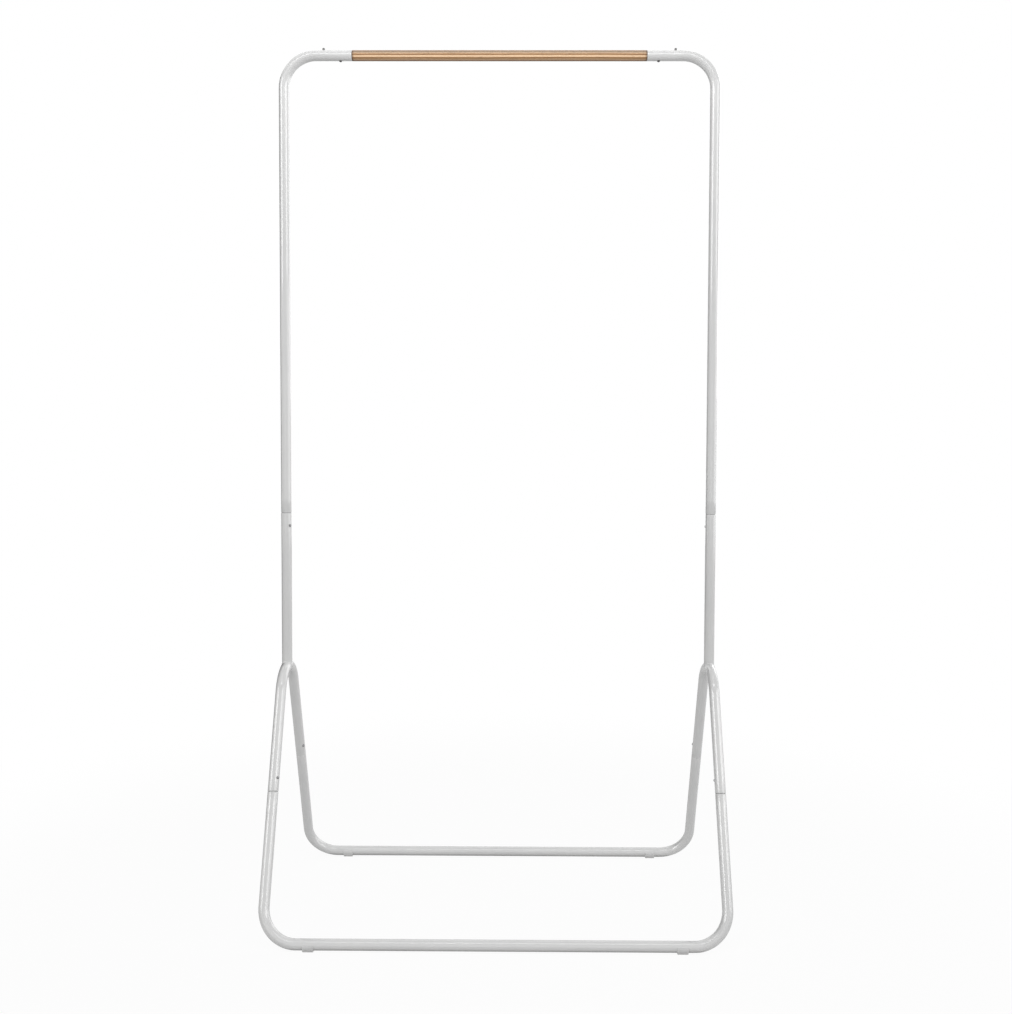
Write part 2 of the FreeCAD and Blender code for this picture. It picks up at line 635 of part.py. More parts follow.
def make_clip(name, where, turn, tilt):
    """Leaf spring bent into a U: one leg carries the button, the other leans on the opposite wall."""
    label = "clip_" + name
    body = new_body(label, *where, axis=Vector(1, 0, 0), turn=turn)
    outline = sketch_on(body, "XZ_Plane", label + "_outline", tilt=tilt, about=SKETCH_Y)
    bend = "-Sizes.leaf_back"
    draw(outline, [
        (LEAF_FACE, "Sizes.leaf_tip"),
        (LEAF_BACK, "Sizes.leaf_tip"),
        (LEAF_BACK, bend),
        ("0", f"{bend} - {LEAF_BACK}", LEAF_BACK, -1),
        (f"-{LEAF_BACK}", bend, LEAF_BACK, -1),
        (f"-{LEAF_BACK}", "Sizes.leaf_tip"),
        (f"-{LEAF_FACE}", "Sizes.leaf_tip"),
        (f"-{LEAF_FACE}", bend),
        ("0", f"{bend} - {LEAF_FACE}", LEAF_FACE, 1),
        (LEAF_FACE, bend, LEAF_FACE, 1),
    ])
    extrude(body, label + "_leaf", outline, "Sizes.leaf_width")
    hole = sketch_on(body, "YZ_Plane", label + "_rivet", tilt=tilt, about=SKETCH_Y)
    circle(hole, "Sizes.rivet_dia + 2 * Sizes.hole_play")
    cut(body, label + "_rivet_hole", hole, "Sizes.tube_dia", forward=True)
    return body


def make_weld(label, side):
    """Weld ring in the corner between the post and the leg bend, outside both tubes."""
    x = f"{side} * {HALF_WIDTH}"

    def bend_ring(name, radius):
        ring = doc.addObject("Part::Torus", f"{label}_{name}")
        ring.setExpression("Radius1", "Sizes.bend_radius")
        ring.setExpression("Radius2", radius)
        place(ring, x, "0", BEND_CENTRE, Vector(0, 1, 0), "90")
        return ring

    def post_rod(name, radius):
        rod = doc.addObject("Part::Cylinder", f"{label}_{name}")
        rod.setExpression("Radius", radius)
        rod.setExpression("Height", "Sizes.tube_dia + Sizes.weld_size")
        place(rod, x, "0", f"{CREST} - Sizes.weld_size")
        return rod

    outer = doc.addObject("Part::Common", label + "_outer")
    outer.Base = bend_ring("wide_bend", f"{TUBE_R} + Sizes.weld_size")
    outer.Tool = post_rod("wide_post", f"{TUBE_R} + Sizes.weld_size")
    above = doc.addObject("Part::Cut", label + "_above")
    above.Base = outer
    above.Tool = bend_ring("bend", TUBE_R)
    weld = doc.addObject("Part::Cut", label)
    weld.Base = above
    weld.Tool = post_rod("post", TUBE_R)
    weld.Label = label
    return weld


def make_all():
    """Every sub-part of the rail, in the order of the list of pieces."""
    pieces = [make_dowel()]
    for side, side_name in ((-1, "left"), (1, "right")):
        pieces.append(make_upper_tube("upper_tube_" + side_name, side))
        pieces.append(make_post("post_" + side_name, side))
        pieces.append(make_hairpin("leg_hairpin_" + side_name, side))
        pieces.append(make_weld("weld_" + side_name, side))
        pieces.append(make_stop("hanger_stop_" + side_name, side))
        pieces.append(make_screw("rail_screw_" + side_name, side))
    for end, end_name in ((-1, "front"), (1, "rear")):
        pieces.append(make_base("base_" + end_name, end))
        for side, side_name in ((-1, "left"), (1, "right")):
            pieces.append(make_foot(f"foot_{end_name}_{side_name}", side, end))
    for joint in joint_places():
        pieces.append(make_button(*joint))
        pieces.append(make_clip(*joint))
    return pieces


def check(pieces):
    """Stops if any object failed or any sub-part is not one sound solid."""
    failed = [item.Label for item in doc.Objects if {"Invalid", "Error"} & set(item.State)]
    if failed:
        raise RuntimeError("failed objects: " + ", ".join(failed))
    for piece in pieces:
        shape = piece.Shape
        if shape.isNull() or not shape.isValid() or len(shape.Solids) != 1:
            raise RuntimeError(f"{piece.Label} is not one valid solid")


sub_parts = make_all()
doc.recompute()
check(sub_parts)
os.makedirs("parts", exist_ok=True)
for piece in sub_parts:
    piece.Shape.exportStep(f"parts/{piece.Label}.step")
    print(f"{piece.Label}: {piece.Shape.Volume:.1f} mm3")
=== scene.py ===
"""Looks of a free-standing clothes rail: bent white tubes, snap-button joints and a wooden hanging bar.

Lengths are in metres and angles in radians. X points right as seen from the front, Y to the back and
Z up, with the origin on the floor in the middle of the footprint. Each piece is a surface worked out as
whole arrays: rings carried along a bent centre line, a profile turned about an axis, or a section
wrapped round the floor bar.
"""

import json
import logging
import math
from abc import ABC, abstractmethod
from dataclasses import dataclass
from enum import Enum
from typing import Any, Mapping, Optional, Sequence, Union

import bmesh
import bpy
import numpy as np
from mathutils import Matrix, Vector

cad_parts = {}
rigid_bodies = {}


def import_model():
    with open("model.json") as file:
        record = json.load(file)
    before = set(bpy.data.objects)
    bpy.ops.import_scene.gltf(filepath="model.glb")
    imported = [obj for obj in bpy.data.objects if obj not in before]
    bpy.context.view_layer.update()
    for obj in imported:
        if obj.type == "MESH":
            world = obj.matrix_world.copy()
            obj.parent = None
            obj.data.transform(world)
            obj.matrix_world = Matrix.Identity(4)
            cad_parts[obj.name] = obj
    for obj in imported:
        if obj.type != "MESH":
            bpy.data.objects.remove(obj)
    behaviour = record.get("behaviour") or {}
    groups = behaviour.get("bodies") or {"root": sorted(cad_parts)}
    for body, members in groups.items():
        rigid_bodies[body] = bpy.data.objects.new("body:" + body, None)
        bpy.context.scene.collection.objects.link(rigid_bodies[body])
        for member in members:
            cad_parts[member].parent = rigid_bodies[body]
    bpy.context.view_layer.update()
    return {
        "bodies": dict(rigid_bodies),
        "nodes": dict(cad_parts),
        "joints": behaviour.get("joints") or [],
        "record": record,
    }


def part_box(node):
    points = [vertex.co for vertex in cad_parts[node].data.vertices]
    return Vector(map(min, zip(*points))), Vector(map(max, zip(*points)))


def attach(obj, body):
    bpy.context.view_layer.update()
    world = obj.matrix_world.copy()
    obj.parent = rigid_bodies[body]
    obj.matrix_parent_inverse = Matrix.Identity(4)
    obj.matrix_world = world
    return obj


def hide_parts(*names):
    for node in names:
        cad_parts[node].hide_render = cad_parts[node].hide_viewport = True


LOG = logging.getLogger("clothes_rail")
FRAME_BODY = "frame"
TURN = 2 * math.pi
QUARTER = math.pi / 2
MM = 0.001
SHARP_ANGLE = math.radians(38)
MERGE_REACH = 0.002 * MM
NOISE_MEAN = 0.5
FAR_FROM_END = -1.0
NO_FANS = np.empty((0, 3), int)

Colour = tuple[float, float, float]
Point = tuple[float, float, float]
Band = tuple[float, float]

X_AXIS: Point = (1.0, 0.0, 0.0)
Z_AXIS: Point = (0.0, 0.0, 1.0)
ACROSS_X: Point = (0.0, 1.0, 1.0)
MIRRORED: Band = (-1.0, 1.0)
WHITE = (1.0, 1.0, 1.0, 1.0)


class Signed(Enum):
    """Option that is also a sign along an axis."""

    @property
    def word(self) -> str:
        """Lower-case word used in names."""
        return self.name.lower()


class Side(Signed):
    """Side of the rail along X."""

    LEFT = -1
    RIGHT = 1


class Depth(Signed):
    """Place of a floor bar along Y."""

    FRONT = -1
    REAR = 1


class TubeEnd(Enum):
    """How a tube is finished at one end."""

    CUT = "cut square with eased edges"
    SPIGOT = "swaged down to slip into the next tube"


class Slot(Enum):
    """Material slots of the part's record."""

    TUBE = "painted_tube"
    WOOD = "wood"
    FOOT = "foot"
    BUTTON = "button"
    STUD = "stud"


# Shader graphs

class Field:
    """Socket that takes part in Python expressions: each operator adds one Math node."""

    def __init__(self, graph: "Graph", socket: bpy.types.NodeSocket) -> None:
        """Keeps the graph and the socket that carries the value."""
        self.graph = graph
        self.socket = socket

    def _math(self, operation: str, left: "Value", right: "Value") -> "Field":
        """Adds a Math node for two values."""
        return self.graph.node("ShaderNodeMath", {"operation": operation}, {0: left, 1: right})

    def __add__(self, other: "Value") -> "Field":
        """Sum."""
        return self._math("ADD", self, other)

    def __radd__(self, other: "Value") -> "Field":
        """Sum with a plain number first."""
        return self._math("ADD", other, self)

    def __sub__(self, other: "Value") -> "Field":
        """Difference."""
        return self._math("SUBTRACT", self, other)

    def __rsub__(self, other: "Value") -> "Field":
        """Difference from a plain number."""
        return self._math("SUBTRACT", other, self)

    def __mul__(self, other: "Value") -> "Field":
        """Product."""
        return self._math("MULTIPLY", self, other)

    def __rmul__(self, other: "Value") -> "Field":
        """Product with a plain number first."""
        return self._math("MULTIPLY", other, self)

    def either(self, other: "Value") -> "Field":
        """Larger of two values."""
        return self._math("MAXIMUM", self, other)

    def wave(self) -> "Field":
        """Sine, moved to run from 0 to 1."""
        return 0.5 + 0.5 * self._math("SINE", self, 0.0)


Value = Union[Field, float]


class Graph:
    """Node tree that is filled through one method for nodes and a few short forms of it."""

    def __init__(self, tree: bpy.types.NodeTree) -> None:
        """Empties the tree.

        Args:
            tree: Node tree of a material or of the world.
        """
        self.tree = tree
        tree.nodes.clear()

    @staticmethod
    def _find(sockets: Any, key: Union[str, int]) -> bpy.types.NodeSocket:
        """Finds a socket.

        Args:
            sockets: Inputs or outputs of a node.
            key: Place, identifier or name.

        Returns:
            The first socket that fits.
        """
        if isinstance(key, int):
            return sockets[key]
        return next(item for item in sockets if key in (item.identifier, item.name))

    @staticmethod
    def _set_stops(elements: Any, stops: Sequence[tuple[float, Colour]]) -> None:
        """Fills a colour ramp.

        Args:
            elements: Elements of the ramp, two in a new one.
            stops: Places and colours, two or more.
        """
        while len(elements) < len(stops):
            elements.new(1.0)
        for element, (place, colour) in zip(elements, stops):
            element.position = place
            element.color = (*colour, 1.0)

    def node(self, kind: str, settings: Optional[Mapping[str, Any]] = None,
             inputs: Optional[Mapping[Union[str, int], Any]] = None, output: Union[str, int] = 0) -> Field:
        """Adds a node.

        Args:
            kind: Node type.
            settings: Node properties; "stops" holds the places and colours of a ramp.
            inputs: Values or links of the sockets.
            output: Socket that the result carries.

        Returns:
            The chosen output, or the first input of a node that has none.
        """
        made = self.tree.nodes.new(kind)
        for key, setting in (settings or {}).items():
            if key == "stops":
                self._set_stops(made.color_ramp.elements, setting)
            else:
                setattr(made, key, setting)
        for key, given in (inputs or {}).items():
            socket = self._find(made.inputs, key)
            if isinstance(given, Field):
                self.tree.links.new(given.socket, socket)
            else:
                socket.default_value = given
        return Field(self, self._find(made.outputs, output) if made.outputs else made.inputs[0])

    def place(self) -> Field:
        """Object coordinates, in metres."""
        return self.node("ShaderNodeTexCoord", output="Object")

    def height(self, place: Field) -> Field:
        """Height of a place above the floor."""
        return self.node("ShaderNodeSeparateXYZ", None, {0: place}, "Z")

    def stretched(self, vector: Field, factors: Point) -> Field:
        """Vector with each part times its own factor."""
        return self.node("ShaderNodeVectorMath", {"operation": "MULTIPLY"}, {0: vector, 1: factors})

    def length(self, vector: Field) -> Field:
        """Length of a vector."""
        return self.node("ShaderNodeVectorMath", {"operation": "LENGTH"}, {0: vector}, "Value")

    def band(self, value: Value, low: float, high: float) -> Field:
        """Smooth step: 0 below low, 1 above high."""
        return self.node("ShaderNodeMapRange", {"interpolation_type": "SMOOTHSTEP"},
                         {"Value": value, "From Min": low, "From Max": high})

    def layered(self, base: Union[Field, Colour], *layers: tuple[Value, Colour]) -> Field:
        """Mixes colours over a base, one after the other.

        Args:
            base: Colour to start from.
            layers: Share and colour of each layer.

        Returns:
            The mixed colour.
        """
        for share, colour in layers:
            under = base if isinstance(base, Field) else (*base, 1.0)
            inputs = {"Factor_Float": share, "A_Color": under, "B_Color": (*colour, 1.0)}
            base = self.node("ShaderNodeMix", {"data_type": "RGBA"}, inputs, "Result_Color")
        return base

    def ramp(self, value: Field, stops: Sequence[tuple[float, Colour]]) -> Field:
        """Colour that a value picks from a row of stops."""
        return self.node("ShaderNodeValToRGB", {"stops": stops}, {"Fac": value})

    def kept(self, name: str) -> Field:
        """Number that a mesh keeps at its vertices."""
        return self.node("ShaderNodeAttribute", {"attribute_name": name}, output="Fac")

    def ray(self, kind: str) -> Field:
        """1 for rays of one kind, and 0 for others."""
        return self.node("ShaderNodeLightPath", output=kind)

    def bump(self, height: Field, depth: float, under: Optional[Field] = None) -> Field:
        """Raises a surface.

        Args:
            height: Height from 0 to 1.
            depth: What that height is multiplied by, in metres.
            under: Normal of a bump below this one.

        Returns:
            The normal.
        """
        inputs = {"Height": height, "Distance": depth, "Strength": 1.0}
        if under is not None:
            inputs["Normal"] = under
        return self.node("ShaderNodeBump", None, inputs)

    def diffuse(self, grey: float) -> Field:
        """Matt shader of an even grey."""
        return self.node("ShaderNodeBsdfDiffuse", None, {"Color": (grey, grey, grey, 1.0)})

    def between(self, factor: Field, first: Field, second: Field) -> Field:
        """Shader between two others."""
        return self.node("ShaderNodeMixShader", None, {0: factor, 1: first, 2: second})

    def shown(self, shader: Field) -> None:
        """Puts a shader on the material's output."""
        self.node("ShaderNodeOutputMaterial", None, {"Surface": shader})

    def surface(self, inputs: Mapping[Union[str, int], Any]) -> None:
        """Puts a Principled shader on the material's output."""
        self.shown(self.node("ShaderNodeBsdfPrincipled", None, inputs))


def new_material(name: str) -> tuple[bpy.types.Material, Graph]:
    """Makes a material.

    Args:
        name: Name of the material.

    Returns:
        The material and its empty graph.
    """
    made = bpy.data.materials.new(name)
    made.use_nodes = True
    return made, Graph(made.node_tree)


@dataclass(frozen=True)
class Pattern:
    """Smooth noise from 0 to 1: waves per metre, octaves, their falloff, swirl, stretch and cutting band."""

    waves: float
    detail: float = 2.0
    falloff: float = 0.5
    swirl: float = 0.0
    stretch: Optional[Point] = None
    cut: Band = (0.35, 0.65)

    def over(self, graph: Graph, place: Field) -> Field:
        """Lays the noise over a piece.

        Args:
            graph: Graph to add to.
            place: Coordinates.

        Returns:
            The noise.
        """
        vector = place if self.stretch is None else graph.stretched(place, self.stretch)
        return graph.node("ShaderNodeTexNoise", None, {
            "Vector": vector, "Scale": self.waves, "Detail": self.detail, "Roughness": self.falloff,
            "Distortion": self.swirl})

    def mask(self, graph: Graph, place: Field) -> Field:
        """Noise as a smooth step across its band."""
        return graph.band(self.over(graph, place), *self.cut)


class Finish(ABC):
    """Surface finish that becomes one shared material."""

    name: str

    @abstractmethod
    def wire(self, graph: Graph) -> None:
        """Fills the material's graph."""

    def material(self) -> bpy.types.Material:
        """Makes the material on first use.

        Returns:
            The material of this finish.
        """
        found = bpy.data.materials.get(self.name)
        if found is None:
            found, graph = new_material(self.name)
            self.wire(graph)
        return found


@dataclass(frozen=True)
class PowderCoat(Finish):
    """Baked white paint on steel: fine orange peel, faint drift of tone, thin on edges, bare in the bore,
    painted shade by the floor.
    """

    name: str = "white_powder_coat"
    paint: Colour = (0.790, 0.790, 0.785)
    drift: Colour = (0.765, 0.766, 0.764)
    thin: Colour = (0.52, 0.52, 0.52)
    steel: Colour = (0.16, 0.16, 0.165)
    # painted shade colour for the paint just above the floor
    grime: Colour = (0.27, 0.265, 0.26)
    clouds: Pattern = Pattern(7.0, detail=3.0)
    specks: Pattern = Pattern(420.0, detail=1.0, cut=(0.60, 0.72))
    scuffs: Pattern = Pattern(55.0, detail=6.0, falloff=0.62, swirl=0.4, stretch=(1.0, 1.0, 0.35),
                              cut=(0.62, 0.74))
    fine_peel: Pattern = Pattern(760.0, detail=2.0)
    broad_peel: Pattern = Pattern(190.0, detail=1.0)
    peel: float = 0.000018
    grime_height: Band = (0.0040, 0.0095)
    speck_share: float = 0.06
    scuff_share: float = 0.10
    edge_share: float = 0.15
    grime_share: float = 0.30
    gloss: float = 0.20
    cloud_rough: float = 0.05
    scuff_rough: float = 0.10
    bore_rough: float = 0.14
    bore_metal: float = 0.85
    glaze: float = 0.95
    glaze_scuffed: float = 0.35
    glaze_rough: float = 0.06
    ior: float = 1.58

    def wire(self, graph: Graph) -> None:
        """Wires paint by slow noise, scuffs by cut noise, edges and bore by the mesh's own numbers, and
        painted shade by height.

        Args:
            graph: Empty graph of the material.
        """
        place = graph.place()
        clouds, scuffs = self.clouds.over(graph, place), self.scuffs.mask(graph, place)
        edge, bore = graph.kept("edge"), graph.kept("bore")
        # painted shade mask: 1 just above the floor, fading out over the height band
        low = 1.0 - graph.band(graph.height(place), *self.grime_height)
        fine = graph.bump(self.fine_peel.over(graph, place), self.peel)
        graph.surface({
            "Base Color": graph.layered(
                self.paint,
                (graph.band(clouds, *self.clouds.cut), self.drift),
                (self.speck_share * self.specks.mask(graph, place), self.thin),
                (self.scuff_share * scuffs, self.thin),
                (self.edge_share * edge, self.thin),
                # painted shade on the undersides of the floor bars, patchy by slow noise
                (low * (self.grime_share + self.grime_share * clouds), self.grime),
                (bore, self.steel)),
            "Metallic": self.bore_metal * bore,
            "Roughness": (self.gloss + self.cloud_rough * (clouds - NOISE_MEAN) + self.scuff_rough * scuffs
                          + self.bore_rough * bore),
            "IOR": self.ior,
            "Coat Weight": self.glaze * (1.0 - bore) - self.glaze_scuffed * scuffs,
            "Coat Roughness": self.glaze_rough,
            "Coat IOR": self.ior,
            "Normal": graph.bump(self.broad_peel.over(graph, place), 2 * self.peel, fine),
        })


@dataclass(frozen=True)
class LacqueredWood(Finish):
    """Straight-grained light wood under satin lacquer: rings, fibres, short dark pores and stained ends, plus
    painted shade and a painted sheen.
    """

    name: str = "lacquered_wood"
    # pale grain tone, set bright so that it also serves the painted sheen
    pale: Colour = (0.990, 0.700, 0.450)
    warm: Colour = (0.560, 0.295, 0.120)
    dark: Colour = (0.230, 0.110, 0.042)
    stain: Colour = (0.090, 0.048, 0.026)
    # painted shade colour for a stripe along the bar's upper front
    smoke: Colour = (0.200, 0.142, 0.100)
    heart: Point = (0.0, 0.0215, 1.5315)
    # reach of the pale ring that lies on the camera-facing line of the bar as a painted sheen
    pale_ring: float = 0.0602
    ring_pitch: float = 0.0062
    ring_cut: Band = (0.05, 0.75)
    # darker heartwood tone near the heart line, placed so that it also lays painted shade along the underside
    heartwood: Band = (0.0515, 0.0588)
    smoky: Band = (0.0638, 0.0672)
    clear: Band = (0.0677, 0.0691)
    wander: Pattern = Pattern(1.0, detail=3.0, stretch=(6.0, 40.0, 40.0))
    fibre: Pattern = Pattern(1.0, detail=4.0, falloff=0.6, stretch=(9.0, 950.0, 950.0), cut=(0.54, 0.75))
    streak: Pattern = Pattern(1.0, detail=3.0, falloff=0.55, stretch=(2.2, 260.0, 260.0))
    pores: Pattern = Pattern(1.0, detail=1.0, stretch=(70.0, 2300.0, 2300.0), cut=(0.66, 0.74))
    wander_turn: float = 1.7
    least_tone: float = 0.06
    ring_tone: float = 0.54
    streak_tone: float = 0.28
    fibre_tone: float = 0.14
    tone_places: tuple[float, float, float] = (0.18, 0.45, 0.76)
    fibre_share: float = 0.30
    heartwood_share: float = 0.75
    smoke_share: float = 0.78
    pore_share: float = 0.55
    end_share: float = 0.85
    satin: float = 0.34
    ring_rough: float = 0.10
    pore_rough: float = 0.12
    specular: float = 0.30
    lacquer: float = 0.45
    lacquer_pores: float = 0.30
    lacquer_rough: float = 0.16
    fibre_depth: float = 0.00005
    pore_depth: float = 0.00006

    def wire(self, graph: Graph) -> None:
        """Wires rings as the cosine of the distance from a heart line below and behind, bent by slow noise.

        Args:
            graph: Empty graph of the material.
        """
        place = graph.place()
        offset = graph.node("ShaderNodeVectorMath", {"operation": "SUBTRACT"}, {0: place, 1: self.heart})
        reach = graph.length(graph.stretched(offset, ACROSS_X))
        wander = self.wander.over(graph, place) - NOISE_MEAN
        # painted sheen: the phase puts a pale ring on the line of the bar that faces the camera, where a
        # lacquer highlight falls
        phase = (reach - self.pale_ring) * (TURN / self.ring_pitch) + self.wander_turn * wander + QUARTER
        rings = graph.band(phase.wave(), *self.ring_cut)
        fibre, streak = self.fibre.over(graph, place), self.streak.over(graph, place)
        pores = self.pores.mask(graph, place)
        # heartwood tone with painted shade: the darker wood lies along the underside, where less light falls
        heartwood = 1.0 - graph.band(reach, *self.heartwood)
        # painted shade: a darker stripe on the upper front, where more light falls from above; the last band
        # lets the very top go back to the ring tones
        smoky = graph.band(reach, *self.smoky) - graph.band(reach, *self.clear)
        tone = self.least_tone + self.ring_tone * rings + self.streak_tone * streak + self.fibre_tone * fibre
        grain = graph.bump(fibre, self.fibre_depth)
        graph.surface({
            "Base Color": graph.layered(
                graph.ramp(tone, tuple(zip(self.tone_places, (self.dark, self.warm, self.pale)))),
                (self.fibre_share * graph.band(fibre, *self.fibre.cut), self.dark),
                (self.heartwood_share * heartwood, self.dark),
                (self.smoke_share * smoky, self.smoke),
                ((self.pore_share * pores).either(self.end_share * graph.kept("edge")), self.stain)),
            "Roughness": self.satin + self.ring_rough * (1.0 - rings) + self.pore_rough * pores,
            "Specular IOR Level": self.specular,
            "Coat Weight": self.lacquer - self.lacquer_pores * pores,
            "Coat Roughness": self.lacquer_rough,
            "Normal": graph.bump(1.0 - pores, self.pore_depth, grain),
        })


@dataclass(frozen=True)
class MouldedGlide(Finish):
    """Pale grey moulded plastic with a fine spark texture, rubbed dark along the sole."""

    name: str = "moulded_glide"
    plastic: Colour = (0.740, 0.740, 0.735)
    drift: Colour = (0.770, 0.770, 0.768)
    dirt: Colour = (0.30, 0.29, 0.28)
    clouds: Pattern = Pattern(160.0, detail=5.0, falloff=0.6)
    grit: Pattern = Pattern(1900.0, detail=2.0)
    sole: float = 0.0007
    sole_least: float = 0.4
    sole_swing: float = 1.6
    rub_fade: Band = (-0.0004, 0.0006)
    rub_share: float = 0.6
    matt: float = 0.46
    grit_rough: float = 0.16
    rub_rough: float = 0.15
    grit_depth: float = 0.00005

    def wire(self, graph: Graph) -> None:
        """Wires dirt that fades upwards from the floor and breaks up by noise.

        Args:
            graph: Empty graph of the material.
        """
        place = graph.place()
        clouds, grit = self.clouds.over(graph, place), self.grit.over(graph, place)
        rubbed = self.sole * (self.sole_least + self.sole_swing * clouds)
        rub = graph.band(rubbed - graph.height(place), *self.rub_fade)
        graph.surface({
            "Base Color": graph.layered(
                self.plastic,
                (graph.band(clouds, *self.clouds.cut), self.drift),
                (self.rub_share * rub, self.dirt)),
            "Roughness": self.matt + self.grit_rough * grit + self.rub_rough * rub,
            "Normal": graph.bump(grit, self.grit_depth),
        })


@dataclass(frozen=True)
class TurnedMetal(Finish):
    """Small plated metal piece with turning rings, smudges and bright edges."""

    name: str
    metal: Colour
    shade: Colour
    gloss: float
    smudges: Pattern = Pattern(380.0, detail=4.0, falloff=0.6, cut=(0.35, 0.70))
    pits: Pattern = Pattern(2600.0, detail=1.0, cut=(0.64, 0.74))
    ring_pitch: float = 0.00022
    pit_share: float = 0.4
    edge_share: float = 0.35
    smudge_rough: float = 0.14
    pit_rough: float = 0.10
    edge_polish: float = 0.06
    ring_depth: float = 0.000006
    pit_depth: float = 0.00002

    def wire(self, graph: Graph) -> None:
        """Wires rings as the sine of the way along the turned profile, which the mesh keeps.

        Args:
            graph: Empty graph of the material.
        """
        place = graph.place()
        way, edge = graph.kept("way"), graph.kept("edge")
        rings = (way * (TURN / self.ring_pitch)).wave()
        smudges, pits = self.smudges.over(graph, place), self.pits.mask(graph, place)
        graph.surface({
            "Base Color": graph.layered(
                self.metal,
                (graph.band(smudges, *self.smudges.cut), self.shade),
                (self.pit_share * pits, self.shade),
                (self.edge_share * edge, self.metal)),
            "Metallic": 1.0,
            "Roughness": (self.gloss + self.smudge_rough * smudges + self.pit_rough * pits
                          - self.edge_polish * edge),
            "Normal": graph.bump(rings, self.ring_depth, graph.bump(1.0 - pits, self.pit_depth)),
        })


@dataclass(frozen=True)
class SpringSteel(Finish):
    """Rolled spring strip: blue-grey, with drawn lines along the strip and heat tint in patches."""

    name: str = "spring_steel"
    strip: Colour = (0.33, 0.34, 0.37)
    tint: Colour = (0.30, 0.25, 0.21)
    lines: Pattern = Pattern(1.0, detail=3.0, stretch=(1800.0, 1800.0, 45.0))
    patches: Pattern = Pattern(120.0, detail=3.0, cut=(0.50, 0.68))
    tint_share: float = 0.5
    gloss: float = 0.30
    line_rough: float = 0.16
    line_depth: float = 0.000012

    def wire(self, graph: Graph) -> None:
        """Wires lines as noise drawn out along Z, and tint as slow noise.

        Args:
            graph: Empty graph of the material.
        """
        place = graph.place()
        lines, patches = self.lines.over(graph, place), self.patches.mask(graph, place)
        graph.surface({
            "Base Color": graph.layered(self.strip, (self.tint_share * patches, self.tint)),
            "Metallic": 1.0,
            "Roughness": self.gloss + self.line_rough * lines,
            "Normal": graph.bump(lines, self.line_depth),
        })


PAINT = PowderCoat()
WOOD = LacqueredWood()
GLIDE = MouldedGlide()
BUTTON_STEEL = TurnedMetal("button_steel", metal=(0.36, 0.36, 0.365), shade=(0.22, 0.22, 0.225), gloss=0.32)
STUD_STEEL = TurnedMetal("stud_steel", metal=(0.20, 0.198, 0.195), shade=(0.09, 0.088, 0.085), gloss=0.34)
SPRING = SpringSteel()


# Surfaces

def full_turn(count: int) -> np.ndarray:
    """Even angles round a full turn."""
    return np.linspace(0.0, TURN, count, endpoint=False)


def unit(vectors: np.ndarray) -> np.ndarray:
    """Vectors brought to a length of one."""
    return vectors / np.linalg.norm(vectors, axis=-1, keepdims=True)


def circle_on(angle: np.ndarray, first: np.ndarray, second: np.ndarray) -> np.ndarray:
    """Cosine of each angle times one direction plus its sine times another."""
    return np.cos(angle)[..., None] * first + np.sin(angle)[..., None] * second


def square_pair(axis: np.ndarray) -> tuple[np.ndarray, np.ndarray]:
    """Finds two unit directions square to an axis and to each other.

    Args:
        axis: Unit direction.

    Returns:
        The two directions; with the axis they make a right-handed set.
    """
    first = unit(np.cross(np.eye(3)[np.argmin(np.abs(axis))], axis))
    return first, np.cross(axis, first)


